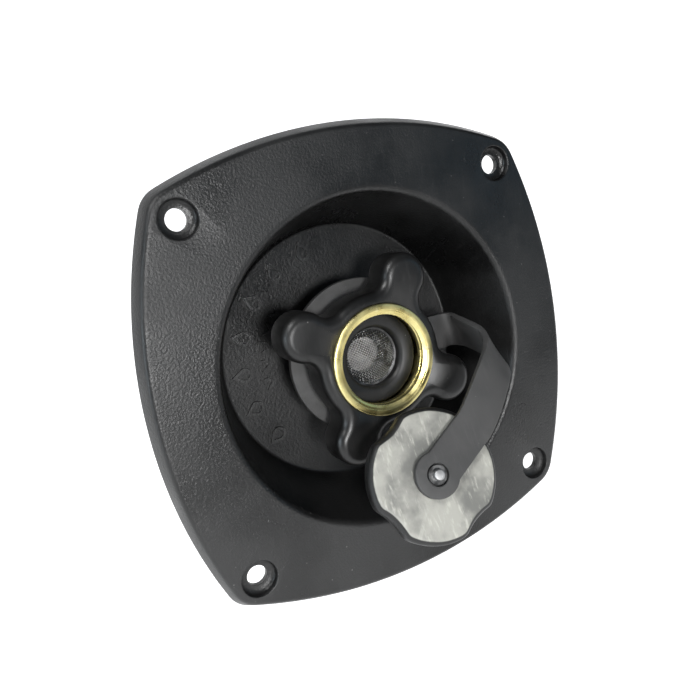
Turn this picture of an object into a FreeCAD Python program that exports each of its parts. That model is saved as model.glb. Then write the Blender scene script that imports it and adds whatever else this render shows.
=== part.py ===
import FreeCAD, Part
import math
import os

# Recessed fresh-water hose inlet for a boat or caravan wall, in millimetres.
# The wall is the plane Y = 0, the outside is towards -Y, and +Z is up.
# Turned parts share the inlet axis, which is the Y axis.

Vec = FreeCAD.Vector

# Flange and recess
HOLE_PITCH = 92.0          # screw hole to screw hole, both ways
FLANGE_T = 4.0
FACE_HALF = 61.6           # centre of the face to the middle of a side
SIDE_FLARE = 2.0           # how far the edge spreads from face to wall
SIDE_R = 132.0             # bulge of the four sides
CORNER_R = 8.0
SCREW_HOLE_R = 2.7
SCREW_DISH_R = 4.8
RIM_R = 47.0
RIM_ROUND = 2.0
FLOOR_R = 37.8
RECESS_DEPTH = 25.0
SHELL_T = 2.4
FLOOR_T = 3.0

# Swivel knob and its brass hose thread
KNOB_FRONT = 0.4           # heights are measured forward from the flange face
KNOB_T = 10.0
LOBE_R = 30.0
LOBE_TIP_R = 6.8
HUB_R = 18.5
ROOT_ARC_R = 4.5           # hollow between hub and lobe
KNOB_FRONT_ROUND = 3.0
LOBE_ANGLE = 61.5          # first lobe, seen from the front, from +X towards +Z
BRASS_FRONT = 1.0
BRASS_R = 15.25
THREAD_MAJOR_R = 13.6      # 3/4 inch garden hose thread, female
THREAD_MINOR_R = 12.3
THREAD_LEN = 3.2
LIP_T = 1.8

# Neck that the knob turns on
NECK_R = 10.0
NECK_BORE_R = 8.0
COLLAR_R = 12.6
SWIVEL_GAP = 0.3
WASHER_FRONT = -5.0
WASHER_T = 3.2

# Tether strap
STRAP_T = 1.8
STRAP_HALF = 5.3
STRAP_RING_R = 22.0
STRAP_MID_H = -13.5
EYELET_R = 6.1
EYELET_LIFT = 0.35         # strap above the plug face

# Plug, built about its own axis and then tilted
PLUG_FACE = (-0.06, -28.7, 17.0)      # x, up, forward of the flange face
PLUG_NORMAL = (-0.115, 0.35, 0.93)
PLUG_R = 17.7
PLUG_T = 4.5
PLUG_ROUND = 1.8
SCALLOP_R = 15.8
SCALLOP_AT = 32.0
SCALLOP_ANGLE = 30.0
SPIGOT_R = 13.35
SPIGOT_LEN = 6.4
STUD_R = 1.45
STUD_TOP = 3.4

# Pressure regulator behind the wall
BODY_FRONT = 31.3
BODY_R = 26.0
CYL_R = 23.0
JOINT_Y = 50.0
JOINT_R = 31.0
COVER_BACK = 60.0
OUTLET_R = 10.6
OUTLET_LEN = 16.0
SCREW_COUNT = 6
SCREW_PCD_R = 28.4


def front(x, up, height):
    """Point at a height forward of the flange face."""
    return Vec(x, -(FLANGE_T + height), up)


def depth(height):
    """Y of a height forward of the flange face."""
    return -(FLANGE_T + height)


def turned(points):
    """Solid of revolution about the inlet axis, from (radius, y) corners."""
    corners = [Vec(r, y, 0) for r, y in points]
    wire = Part.makePolygon(corners + [corners[0]])
    return Part.Face(wire).revolve(Vec(0, 0, 0), Vec(0, 1, 0), 360)


def disc(radius, y0, y1):
    return Part.makeCylinder(radius, y1 - y0, Vec(0, y0, 0), Vec(0, 1, 0))


def tube(outer, inner, y0, y1):
    return disc(outer, y0, y1).cut(disc(inner, y0 - 1, y1 + 1))


def o_ring(radius, section, y):
    return Part.makeTorus(radius, section, Vec(0, y, 0), Vec(0, 1, 0))


def around(shape, count, start=0.0):
    """Copies of a shape turned about the inlet axis."""
    copies = []
    for i in range(count):
        copy = shape.copy()
        copy.rotate(Vec(0, 0, 0), Vec(0, 1, 0), start + 360.0 * i / count)
        copies.append(copy)
    return copies


def edges_at(shape, y, least_r=0.0, most_r=1000.0):
    """Edges that lie wholly in the plane Y = y, between two radii."""
    found = []
    for edge in shape.Edges:
        box = edge.BoundBox
        centre = edge.valueAt((edge.FirstParameter + edge.LastParameter) / 2)
        radius = math.hypot(centre.x, centre.z)
        if abs(box.YMin - y) < 1e-4 and abs(box.YMax - y) < 1e-4 and least_r <= radius <= most_r:
            found.append(edge)
    return found


def rounded(shape, radius, edges):
    return shape.makeFillet(radius, edges)


def spring(mean_r, wire_r, y0, y1, turns):
    """Compression spring along the inlet axis between two seats."""
    run = y1 - y0 - 2 * wire_r
    helix = Part.makeHelix(run / turns, run, mean_r)
    ring = Part.Wire(Part.makeCircle(wire_r, Vec(mean_r, 0, 0), Vec(0, 1, 0)))
    coil = Part.Wire(helix).makePipeShell([ring], True, True)
    coil.rotate(Vec(0, 0, 0), Vec(1, 0, 0), -90)
    coil.translate(Vec(0, y0 + wire_r, 0))
    return coil


# ---------------------------------------------------------------- housing

def side_outline(half, y):
    """Square outline with bulged sides and rounded corners."""
    arc_c = half - SIDE_R
    reach = SIDE_R - CORNER_R
    d = (arc_c + math.sqrt(2 * reach * reach - arc_c * arc_c)) / 2
    lean = math.atan2(d, d - arc_c)
    edges = []
    for quarter in range(4):
        turn = math.radians(90 * quarter)

        def place(x, up):
            return Vec(x * math.cos(turn) + up * math.sin(turn), y,
                       up * math.cos(turn) - x * math.sin(turn))

        def on_side(a):
            return place(SIDE_R * math.sin(a), arc_c + SIDE_R * math.cos(a))

        def on_corner(a):
            return place(d + CORNER_R * math.sin(a), d + CORNER_R * math.cos(a))

        edges.append(Part.Arc(on_side(-lean), on_side(0), on_side(lean)).toShape())
        end = math.pi / 2 - lean
        edges.append(Part.Arc(on_corner(lean), on_corner(math.pi / 4), on_corner(end)).toShape())
    return Part.Wire(edges)


def flange_plate():
    wires = [side_outline(FACE_HALF + SIDE_FLARE, 0), side_outline(FACE_HALF, -FLANGE_T)]
    plate = Part.makeLoft(wires, True, True)
    return rounded(plate, 0.8, edges_at(plate, -FLANGE_T))


def recess_cut():
    """Conical space with a small step where its wall meets the floor."""
    floor_y = RECESS_DEPTH - FLANGE_T
    return turned([(0, -FLANGE_T - 1), (RIM_R - RIM_ROUND, -FLANGE_T - 1), (RIM_R - RIM_ROUND, -FLANGE_T),
                   (FLOOR_R + 0.9, floor_y - 2.6), (FLOOR_R, floor_y), (0, floor_y)])


def recess_shell():
    """Outside of the recess behind the wall."""
    back_y = RECESS_DEPTH - FLANGE_T + FLOOR_T
    root_r = RIM_R - RIM_ROUND + SHELL_T
    return turned([
        (0, -FLANGE_T / 2), (root_r, -FLANGE_T / 2), (root_r, 0), (FLOOR_R + SHELL_T, back_y - 2),
        (FLOOR_R + SHELL_T - 2, back_y), (0, back_y)])


def recess_ribs():
    """Small gussets between the back of the flange and the shell."""
    places = [(42.0, -0.5), (50.8, -0.5), (50.8, 1.5), (44.5, 15.0), (42.0, 15.0)]
    corners = [Vec(x, y, -1) for x, y in places]
    rib = Part.Face(Part.makePolygon(corners + [corners[0]])).extrude(Vec(0, 0, 2))
    return around(rib, 8, 22.5)


def screw_dish():
    """Straight-walled dish with a coved floor, round a through hole."""
    corners = [(0, -1), (SCREW_DISH_R, -1), (SCREW_DISH_R, 1.2)]
    for step in range(1, 6):
        a = math.radians(90 * step / 5)
        corners.append((SCREW_DISH_R - 2.1 * (1 - math.cos(a)), 1.2 + 1.2 * math.sin(a)))
    corners += [(SCREW_HOLE_R, 2.6), (SCREW_HOLE_R, FLANGE_T + 1), (0, FLANGE_T + 1)]
    dish = turned(corners)
    dish.translate(Vec(0, -FLANGE_T, 0))
    return dish


def set_on_floor(mark, angle, radius):
    """Move a mark drawn at the origin, its top towards +Z, out along a direction."""
    mark.translate(Vec(0, RECESS_DEPTH - FLANGE_T + 0.2, radius))
    mark.rotate(Vec(0, 0, 0), Vec(0, 1, 0), 90 - angle)
    return mark


def drop_mark(angle, radius, size):
    """Raised outline of a water drop, its point away from the inlet."""
    r = 0.34 * size
    tip = 0.62 * size
    lean = math.acos(r / tip)

    def drop(k):
        left = Vec(-k * r * math.sin(lean), 0, k * r * math.cos(lean))
        right = Vec(k * r * math.sin(lean), 0, k * r * math.cos(lean))
        sides = [Part.LineSegment(left, Vec(0, 0, k * tip)).toShape(),
                 Part.LineSegment(Vec(0, 0, k * tip), right).toShape(),
                 Part.Arc(right, Vec(0, 0, -k * r), left).toShape()]
        return Part.Face(Part.Wire(sides))

    mark = drop(1.0).cut(drop(0.6)).extrude(Vec(0, -0.65, 0))
    return set_on_floor(mark, angle, radius)


def chevron_mark(angle, radius, size):
    """Raised chevron that points to the inlet."""
    half = size / 2
    drop = size * 0.36
    corners = [Vec(-half, 0, half), Vec(0, 0, 0), Vec(half, 0, half), Vec(half, 0, half - drop),
               Vec(0, 0, -drop), Vec(-half, 0, half - drop)]
    mark = Part.Face(Part.makePolygon(corners + [corners[0]])).extrude(Vec(0, -0.6, 0))
    return set_on_floor(mark, angle, radius)


def housing():
    body = flange_plate().fuse(recess_shell())
    for rib in recess_ribs():
        body = body.fuse(rib)
    body = body.cut(recess_cut())
    body = rounded(body, RIM_ROUND, edges_at(body, -FLANGE_T, 40, 46))
    body = body.cut(disc(NECK_R + 0.15, 0, 40))
    for sx in (-1, 1):
        for sz in (-1, 1):
            body = body.cut(screw_dish().translated(Vec(sx * HOLE_PITCH / 2, 0, sz * HOLE_PITCH / 2)))
    for angle in range(103, 222, 19):
        body = body.fuse(drop_mark(angle, 31.5, 6.4))
    for angle in range(140, 191, 12):
        body = body.fuse(chevron_mark(angle, 24.5, 3.4))
    return body.removeSplitter()


# ---------------------------------------------------------------- swivel knob

def on_front(radius, angle, height):
    """Point in front of the wall from its polar place as seen from outside."""
    a = math.radians(angle)
    return front(radius * math.cos(a), radius * math.sin(a), height)


def lobe_outline(height):
    """Round hub with four round-tipped lobes, joined by small hollow arcs."""
    tip_c = LOBE_R - LOBE_TIP_R
    to_tip = LOBE_TIP_R + ROOT_ARC_R
    to_hub = HUB_R + ROOT_ARC_R
    root_x = (to_hub ** 2 - to_tip ** 2 + tip_c ** 2) / (2 * tip_c)
    root_y = math.sqrt(to_hub ** 2 - root_x ** 2)
    tip_end = math.atan2(root_y, root_x - tip_c)
    hub_start = math.atan2(root_y, root_x)

    def at(x, up, lobe):
        return on_front(math.hypot(x, up), math.degrees(math.atan2(up, x)) + LOBE_ANGLE + 90 * lobe, height)

    def tip(a, lobe):
        return at(tip_c + LOBE_TIP_R * math.cos(a), LOBE_TIP_R * math.sin(a), lobe)

    def root(a, side, lobe):
        return at(root_x + ROOT_ARC_R * math.cos(a), side * (root_y + ROOT_ARC_R * math.sin(a)), lobe)

    def hub(a, lobe):
        return at(HUB_R * math.cos(a), HUB_R * math.sin(a), lobe)

    from_tip = tip_end - math.pi
    from_hub = hub_start - math.pi
    middle = (from_tip + from_hub) / 2
    edges = []
    for lobe in range(4):
        edges.append(Part.Arc(tip(-tip_end, lobe), tip(0, lobe), tip(tip_end, lobe)).toShape())
        edges.append(Part.Arc(tip(tip_end, lobe), root(middle, 1, lobe), hub(hub_start, lobe)).toShape())
        edges.append(Part.Arc(hub(hub_start, lobe), hub(math.pi / 4, lobe),
                              hub(math.pi / 2 - hub_start, lobe)).toShape())
        edges.append(Part.Arc(hub(math.pi / 2 - hub_start, lobe), root(middle, -1, lobe + 1),
                              tip(-tip_end, lobe + 1)).toShape())
    return Part.Wire(edges)


def swivel_knob():
    head = Part.Face(lobe_outline(KNOB_FRONT)).extrude(Vec(0, KNOB_T, 0))
    face_y = depth(KNOB_FRONT)
    head = rounded(head, KNOB_FRONT_ROUND, edges_at(head, face_y))
    head = rounded(head, 1.0, edges_at(head, face_y + KNOB_T))
    hub = disc(HUB_R - 1.5, face_y + 2, depth(WASHER_FRONT) + WASHER_T + 4.0)
    head = head.fuse(hub)
    head = head.cut(disc(BRASS_R, face_y - 1, depth(WASHER_FRONT) + WASHER_T + 2.2))
    return head.cut(disc(NECK_R + SWIVEL_GAP, 0, 40)).removeSplitter()


def brass_insert():
    y0 = depth(BRASS_FRONT)
    thread_y = y0 + 0.8
    end = depth(WASHER_FRONT) + WASHER_T + 2.2
    relief = thread_y + THREAD_LEN
    return turned([
        (THREAD_MAJOR_R, y0), (BRASS_R - 0.3, y0), (BRASS_R, y0 + 0.3), (BRASS_R, end),
        (THREAD_MAJOR_R, end), (THREAD_MAJOR_R, relief + 0.4), (THREAD_MINOR_R, relief),
        (THREAD_MINOR_R, thread_y)])


# ---------------------------------------------------------------- hose seal and strainer

def hose_washer():
    y0 = depth(WASHER_FRONT)
    y1 = y0 + WASHER_T
    return turned([
        (9.2, y0), (12.4, y0), (12.9, y0 + 0.5), (12.9, y1), (9.7, y1), (9.7, y1 - 0.6),
        (8.2, y1 - 0.6), (8.2, y0 + 1.0)])


def strainer_rim():
    y1 = depth(WASHER_FRONT) + WASHER_T
    return turned([(7.4, y1 - 0.6), (9.7, y1 - 0.6), (9.7, y1), (7.4, y1)])


def strainer_mesh():
    """Shallow dome that stands towards the hose."""
    base_y = depth(WASHER_FRONT) + WASHER_T - 0.6
    rise = 2.2
    base_r = 7.7
    ball_r = (base_r * base_r + rise * rise) / (2 * rise)
    centre = Vec(0, base_y - rise + ball_r, 0)
    shell = Part.makeSphere(ball_r, centre).cut(Part.makeSphere(ball_r - 0.35, centre))
    return shell.common(disc(base_r, base_y - rise - 1, base_y))


# ---------------------------------------------------------------- neck and its fixing

def neck_faces():
    """Y of the collar's front and back, the shoulder and the floor."""
    collar_y = depth(WASHER_FRONT) + WASHER_T
    shoulder_y = depth(STRAP_MID_H) + STRAP_T / 2 + SWIVEL_GAP
    return collar_y, collar_y + 1.9, shoulder_y, RECESS_DEPTH - FLANGE_T


def inlet_neck():
    collar_y, collar_back, shoulder_y, floor_y = neck_faces()
    tail_y = BODY_FRONT + 2.7
    return turned([
        (7.0, collar_y), (COLLAR_R, collar_y), (COLLAR_R, collar_back), (NECK_R, collar_back),
        (NECK_R, shoulder_y), (14.6, shoulder_y), (15.0, shoulder_y + 0.4), (16.8, floor_y - 1.0),
        (NECK_R, floor_y - 1.0), (NECK_R, tail_y), (4.5, tail_y), (4.5, tail_y + 2.0),
        (3.0, tail_y + 2.0), (3.0, tail_y - 2.0), (NECK_BORE_R, tail_y - 2.0),
        (NECK_BORE_R, collar_y + 3.8), (7.0, collar_y + 3.8)])


def neck_gasket():
    floor_y = neck_faces()[3]
    return tube(16.8, NECK_R, floor_y - 1.0, floor_y)


def lock_washer():
    y0 = RECESS_DEPTH - FLANGE_T + FLOOR_T
    return tube(17.0, NECK_R, y0, y0 + 0.8)


def lock_nut():
    y0 = RECESS_DEPTH - FLANGE_T + FLOOR_T + 0.8
    height = 5.6
    corners = [on_front(15.6, 30 + 60 * i, 0) for i in range(6)]
    nut = Part.Face(Part.makePolygon(corners + [corners[0]])).extrude(Vec(0, height, 0))
    nut.translate(Vec(0, y0 + FLANGE_T, 0))
    crown = turned([(0, y0), (14.4, y0), (16.0, y0 + 1.0), (16.0, y0 + height - 1.0),
                    (14.4, y0 + height), (0, y0 + height)])
    return nut.common(crown).cut(disc(NECK_R, 0, 60))


# ---------------------------------------------------------------- check valve in the neck

SEAT_Y = 8.0               # front of the valve seat


def valve_seat():
    return turned([(5.0, SEAT_Y), (NECK_BORE_R, SEAT_Y), (NECK_BORE_R, SEAT_Y + 2.4), (6.4, SEAT_Y + 2.4)])


def valve_poppet():
    y0 = SEAT_Y + 2.7
    return turned([
        (0, y0 - 1.2), (2.4, y0 - 1.2), (4.2, y0), (6.2, y0), (6.2, y0 + 0.5), (5.5, y0 + 0.5),
        (5.5, y0 + 1.6), (6.2, y0 + 1.6), (6.2, y0 + 2.4), (1.8, y0 + 2.4),
        (1.8, y0 + 13.0), (0, y0 + 13.0)])


def poppet_o_ring():
    return o_ring(6.05, 0.55, SEAT_Y + 2.7 + 1.05)


def valve_cage():
    y0 = SEAT_Y + 12.0
    hub = tube(3.6, 1.88, y0, y0 + 3.0)
    rim = tube(NECK_BORE_R, 6.8, y0, y0 + 3.0)
    arm = Part.makeBox(4.6, 2.0, 1.4, Vec(2.8, y0 + 0.5, -0.7))
    cage = hub.fuse(rim)
    for copy in around(arm, 3):
        cage = cage.fuse(copy)
    return cage.removeSplitter()


def valve_spring():
    return spring(3.0, 0.35, SEAT_Y + 5.4, SEAT_Y + 11.7, 5)


# ---------------------------------------------------------------- pressure regulator

def flange_holes(radius, y0, y1):
    hole = Part.makeCylinder(radius, y1 - y0, Vec(SCREW_PCD_R, y0, 0), Vec(0, 1, 0))
    return around(hole, SCREW_COUNT, 30)


def regulator_body():
    """Front half: joint on the neck, stem guide, spring room and screw flange."""
    y0 = BODY_FRONT
    body = turned([
        (NECK_R, y0), (BODY_R - 2, y0), (BODY_R, y0 + 2), (BODY_R, JOINT_Y - 5), (JOINT_R, JOINT_Y - 5),
        (JOINT_R, JOINT_Y), (CYL_R, JOINT_Y), (CYL_R, y0 + 4), (10.5, y0 + 4), (10.5, y0 + 16.2),
        (8.3, y0 + 16.2), (8.3, y0 + 2.7), (NECK_R, y0 + 2.7)])
    body = body.cut(tube(26.0, 24.0, JOINT_Y - 1.5, JOINT_Y + 1))
    for hole in flange_holes(1.5, JOINT_Y - 4, JOINT_Y + 1):
        body = body.cut(hole)
    rib = Part.makeBox(JOINT_R - BODY_R - 0.6, 11.0, 2.0, Vec(BODY_R - 0.4, JOINT_Y - 15.5, -1))
    slope = Part.makeBox(12, 30, 4, Vec(BODY_R, JOINT_Y - 34, -2))
    slope.rotate(Vec(BODY_R, JOINT_Y - 16, 0), Vec(0, 0, 1), -24)
    for copy in around(rib.cut(slope), SCREW_COUNT):
        body = body.fuse(copy)
    return body.removeSplitter()


def piston_stem_front():
    return BODY_FRONT + 6.2


def seal_pad():
    y0 = piston_stem_front()
    return disc(6.2, y0, y0 + 2.5)


def regulator_piston():
    """Hollow stem with four water ports, and a wide head."""
    y0 = piston_stem_front()
    head_y = JOINT_Y + 0.5
    piston = turned([
        (0, y0 + 2.5), (6.2, y0 + 2.5), (6.2, y0), (8.0, y0), (8.0, y0 + 7.2),
        (7.1, y0 + 7.2), (7.1, y0 + 9.0), (8.0, y0 + 9.0), (8.0, head_y), (CYL_R - 0.4, head_y), (CYL_R - 0.4, head_y + 1.2),
        (CYL_R - 1.6, head_y + 1.2), (CYL_R - 1.6, head_y + 3.0), (CYL_R - 0.4, head_y + 3.0),
        (CYL_R - 0.4, head_y + 4.0), (5.5, head_y + 4.0), (5.5, y0 + 4.0), (0, y0 + 4.0)])
    port = Part.makeCylinder(1.1, 12, Vec(0, y0 + 5.4, 0), Vec(1, 0, 0))
    for copy in around(port, 4):
        piston = piston.cut(copy)
    return piston


def stem_o_ring():
    return o_ring(7.65, 0.55, piston_stem_front() + 8.1)


def head_o_ring():
    return o_ring(CYL_R - 0.85, 0.75, JOINT_Y + 0.5 + 2.1)


def regulator_spring():
    return spring(15.5, 1.3, BODY_FRONT + 4.0, JOINT_Y + 0.2, 3.5)


def regulator_cover():
    """Back half: cylinder end, screw flange, hexagon and male outlet."""
    y0 = JOINT_Y
    end = COVER_BACK + OUTLET_LEN
    cover = turned([
        (CYL_R, y0), (JOINT_R, y0), (JOINT_R, y0 + 3.5), (BODY_R - 0.8, y0 + 3.5), (BODY_R - 0.8, y0 + 6),
        (BODY_R - 4, COVER_BACK), (OUTLET_R, COVER_BACK), (OUTLET_R, end - 0.8), (OUTLET_R - 0.8, end),
        (6.5, end), (6.5, y0 + 6.5), (CYL_R - 1, y0 + 6.5), (CYL_R, y0 + 5.5)])
    corners = [on_front(14.5, 60 * i, 0) for i in range(6)]
    hexagon = Part.Face(Part.makePolygon(corners + [corners[0]])).extrude(Vec(0, 4.5, 0))
    hexagon.translate(Vec(0, COVER_BACK + FLANGE_T - 1.5, 0))
    cover = cover.fuse(hexagon.cut(disc(8, COVER_BACK - 4, end)))
    for hole in flange_holes(1.7, y0 - 1, y0 + 5):
        cover = cover.cut(hole)
    return cover.removeSplitter()


def cover_o_ring():
    return o_ring(25.0, 0.75, JOINT_Y - 0.75)


def cover_screws():
    """Pan-head screws through the cover into the body, one solid each."""
    head_y = JOINT_Y + 3.5
    shank = Part.makeCylinder(1.5, 7.0, Vec(SCREW_PCD_R, head_y - 7.0, 0), Vec(0, 1, 0))
    head = Part.makeCylinder(2.8, 2.2, Vec(SCREW_PCD_R, head_y, 0), Vec(0, 1, 0))
    head = rounded(head, 0.8, edges_at(head, head_y + 2.2))
    slot_a = Part.makeBox(3.2, 1.2, 0.7, Vec(SCREW_PCD_R - 1.6, head_y + 1.2, -0.35))
    slot_b = Part.makeBox(0.7, 1.2, 3.2, Vec(SCREW_PCD_R - 0.35, head_y + 1.2, -1.6))
    screw = shank.fuse(head).cut(slot_a).cut(slot_b)
    return Part.makeCompound(around(screw, SCREW_COUNT, 30))


# ---------------------------------------------------------------- plug on its own axis

def plug_axes():
    """Origin and axes of the plug: across, up the face, and out of the face."""
    x, up, height = PLUG_FACE
    origin = front(x, up, height)
    nx, nup, nout = PLUG_NORMAL
    out = Vec(nx, -nout, nup).normalize()
    across = Vec(0, 0, 1).cross(out).normalize()
    return origin, across, out.cross(across), out


def on_plug(shape):
    """Move a shape built about +Z at the origin onto the plug's axis."""
    origin, across, up, out = plug_axes()
    matrix = FreeCAD.Matrix(
        across.x, up.x, out.x, origin.x,
        across.y, up.y, out.y, origin.y,
        across.z, up.z, out.z, origin.z,
        0, 0, 0, 1)
    placed = shape.copy()
    placed.Placement = FreeCAD.Placement(matrix)
    return placed


def z_turned(points):
    corners = [Vec(r, 0, z) for r, z in points]
    wire = Part.makePolygon(corners + [corners[0]])
    return Part.Face(wire).revolve(Vec(0, 0, 0), Vec(0, 0, 1), 360)


def plug_cap():
    grip = Part.makeCylinder(PLUG_R, PLUG_T, Vec(0, 0, -PLUG_T))
    for i in range(4):
        a = math.radians(SCALLOP_ANGLE + 90 * i)
        centre = Vec(SCALLOP_AT * math.cos(a), SCALLOP_AT * math.sin(a), -PLUG_T - 1)
        bite = Part.makeCylinder(SCALLOP_R, PLUG_T + 2, centre)
        grip = grip.cut(bite)
    top = [e for e in grip.Edges if abs(e.BoundBox.ZMin) < 1e-4 and abs(e.BoundBox.ZMax) < 1e-4]
    grip = grip.makeFillet(PLUG_ROUND, top)
    end = -PLUG_T - SPIGOT_LEN
    thread = [(10.6, end), (SPIGOT_R - 1.0, end)]
    pitch = 2.2
    z = end + 0.5
    for turn in range(2):
        thread += [(SPIGOT_R, z), (SPIGOT_R, z + 0.7), (SPIGOT_R - 1.2, z + 1.2), (SPIGOT_R - 1.2, z + 1.7)]
        z += pitch
    thread += [(SPIGOT_R - 1.2, -PLUG_T + 0.2), (0, -PLUG_T + 0.2), (0, -PLUG_T), (10.6, -PLUG_T)]
    hole = Part.makeCylinder(STUD_R, 3.0, Vec(0, 0, -3.0))
    return on_plug(grip.fuse(z_turned(thread)).cut(hole).removeSplitter())


def plug_washer():
    return on_plug(z_turned([(SPIGOT_R - 1.2, -PLUG_T - 1.5), (15.0, -PLUG_T - 1.5), (15.0, -PLUG_T),
                             (SPIGOT_R - 1.2, -PLUG_T)]))


def plug_stud():
    stud = Part.makeCylinder(STUD_R, 3.0 + STUD_TOP, Vec(0, 0, -3.0))
    rim = [e for e in stud.Edges if abs(e.BoundBox.ZMin - STUD_TOP) < 1e-4]
    return on_plug(stud.makeFillet(0.3, rim))


def stud_washer():
    return on_plug(z_turned([(STUD_R, 1.4), (2.6, 1.4), (2.6, 1.9), (STUD_R, 1.9)]))


# ---------------------------------------------------------------- tether strap

def strap_section(centre, run, out_side):
    """Rectangular section of the strap, square to its run."""
    run = run.normalize()
    wide = out_side.cross(run).normalize()
    thick = run.cross(wide).normalize()
    a = wide * STRAP_HALF
    b = thick * (STRAP_T / 2)
    corners = [centre + a + b, centre - a + b, centre - a - b, centre + a - b]
    return Part.makePolygon(corners + [corners[0]])


def eased(rows):
    """Twice as many rows on a smoother curve, with the two ends kept."""
    finer = [rows[0]]
    for i in range(1, len(rows)):
        before, here = rows[i - 1], rows[i]
        finer.append([(a + b) / 2 for a, b in zip(before, here)])
        if i < len(rows) - 1:
            after = rows[i + 1]
            finer.append([a / 8 + b * 3 / 4 + c / 8 for a, b, c in zip(before, here, after)])
    finer.append(rows[-1])
    return finer


def strap_path(start, leave, end):
    """Centres of the bent tongue, each with the side that faced the knob when it was flat."""
    out = plug_axes()[3]
    lean = Vec(math.cos(math.radians(20)), 0, math.sin(math.radians(20)))
    outwards = Vec(0, -1, 0)
    rows = [
        (start, outwards),
        (front(29.0, -0.1, STRAP_MID_H), outwards),
        (front(32.0, -0.3, -13.2), outwards * 0.6 - lean * 0.8),
        (front(33.1, -1.1, -9.4), lean * -1),
        (front(33.0, -2.2, -3.8), lean * -1),
        (front(32.9, -3.6, 2.6), lean * -1),
        (front(30.9, -5.8, 9.3), out * -0.6 - lean * 0.8),
        (front(25.1, -8.9, 13.8), out * -0.95 - lean * 0.3),
        (end + leave * 5.5 + out * 0.25, out * -1),
        (end + leave * 2.0, out * -1),
        (end, out * -1)]
    rows = [[c.x, c.y, c.z, n.x, n.y, n.z] for c, n in rows]
    for again in range(2):
        rows = eased(rows)
    return [(Vec(*row[:3]), Vec(*row[3:])) for row in rows]


def tether_strap():
    """Ring on the neck, a tongue bent forward round the knob, and an eyelet."""
    origin, across, up, out = plug_axes()
    eyelet_c = origin + out * (EYELET_LIFT + STRAP_T / 2)
    leave = (across * 0.835 + up * 0.55).normalize()
    flat_end = 13.0
    path = strap_path(front(27.0, -0.1, STRAP_MID_H), leave, eyelet_c + leave * flat_end)
    wires = []
    for i, (centre, side) in enumerate(path):
        if i == 0:
            run = Vec(1, 0, 0)
        elif i == len(path) - 1:
            run = leave * -1
        else:
            run = path[i + 1][0] - path[i - 1][0]
        wires.append(strap_section(centre, Vec(run), Vec(side)))
    bend = Part.makeLoft(wires, True, False)

    ring_y = depth(STRAP_MID_H) - STRAP_T / 2
    ring = disc(STRAP_RING_R, ring_y, ring_y + STRAP_T)
    root = Part.makeBox(27.0, STRAP_T, 2 * STRAP_HALF, Vec(0, ring_y, -0.1 - STRAP_HALF))
    ring = ring.fuse(root).cut(disc(NECK_R + SWIVEL_GAP, ring_y - 1, ring_y + 5))

    tail = Part.makeBox(flat_end, 2 * STRAP_HALF, STRAP_T, Vec(0, -STRAP_HALF, EYELET_LIFT))
    tail.rotate(Vec(0, 0, 0), Vec(0, 0, 1), math.degrees(math.atan2(0.55, 0.835)))
    eyelet = Part.makeCylinder(EYELET_R, STRAP_T, Vec(0, 0, EYELET_LIFT)).fuse(tail)
    eyelet = eyelet.cut(Part.makeCylinder(STUD_R + 0.3, 5, Vec(0, 0, -1)))
    eyelet = eyelet.cut(Part.makeCylinder(2.95, 5, Vec(0, 0, 1.1)))
    return ring.fuse(bend).fuse(on_plug(eyelet)).removeSplitter()


NODES = [housing, swivel_knob, brass_insert, hose_washer, strainer_rim, strainer_mesh,
         inlet_neck, neck_gasket, lock_washer, lock_nut,
         valve_seat, valve_poppet, poppet_o_ring, valve_cage, valve_spring,
         regulator_body, regulator_piston, seal_pad, stem_o_ring, head_o_ring, regulator_spring,
         regulator_cover, cover_o_ring, cover_screws,
         plug_cap, plug_washer, plug_stud, stud_washer, tether_strap]

os.makedirs("parts", exist_ok=True)
for make in NODES:
    shape = make()
    state = "valid" if shape.isValid() else "NOT VALID"
    print(make.__name__, state, len(shape.Solids), round(shape.Volume, 1))
    shape.exportStep(os.path.join("parts", make.__name__ + ".step"))
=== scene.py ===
import bpy
import bmesh
import math
from mathutils import Matrix, Vector
from mathutils.geometry import delaunay_2d_cdt


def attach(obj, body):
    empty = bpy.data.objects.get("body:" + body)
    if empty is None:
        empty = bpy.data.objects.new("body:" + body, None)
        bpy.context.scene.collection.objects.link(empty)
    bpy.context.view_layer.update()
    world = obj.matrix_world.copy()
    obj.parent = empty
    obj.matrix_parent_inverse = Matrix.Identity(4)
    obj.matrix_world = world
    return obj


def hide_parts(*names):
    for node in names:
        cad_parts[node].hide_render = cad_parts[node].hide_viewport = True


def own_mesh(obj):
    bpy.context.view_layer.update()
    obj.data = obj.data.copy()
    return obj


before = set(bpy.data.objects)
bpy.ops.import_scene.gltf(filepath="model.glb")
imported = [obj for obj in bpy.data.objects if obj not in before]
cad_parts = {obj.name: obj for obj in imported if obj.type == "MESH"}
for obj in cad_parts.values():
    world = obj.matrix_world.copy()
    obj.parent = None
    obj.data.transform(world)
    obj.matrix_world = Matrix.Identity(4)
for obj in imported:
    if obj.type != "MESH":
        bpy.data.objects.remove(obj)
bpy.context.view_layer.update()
print("frame loaded:", len(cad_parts), "nodes")

# Sizes below are millimetres; meshes are scaled to metres as they are made.
# The inlet axis is Y, the outside of the wall is -Y and +Z is up.
millimetre = 0.001
flangeT = 4.0


# small mesh tools

def faceAt(height):
    return -(flangeT + height)   # y of a height in front of the flange face


def evenAngles(count, crowd=0.0):
    # crowd packs more points near the four diagonals
    steps = [2 * math.pi * i / count for i in range(count)]
    return [t + crowd * math.sin(4 * t) for t in steps]


def circle(radius, y, angles):
    return [(radius * math.cos(a), y, radius * math.sin(a)) for a in angles]


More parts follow.
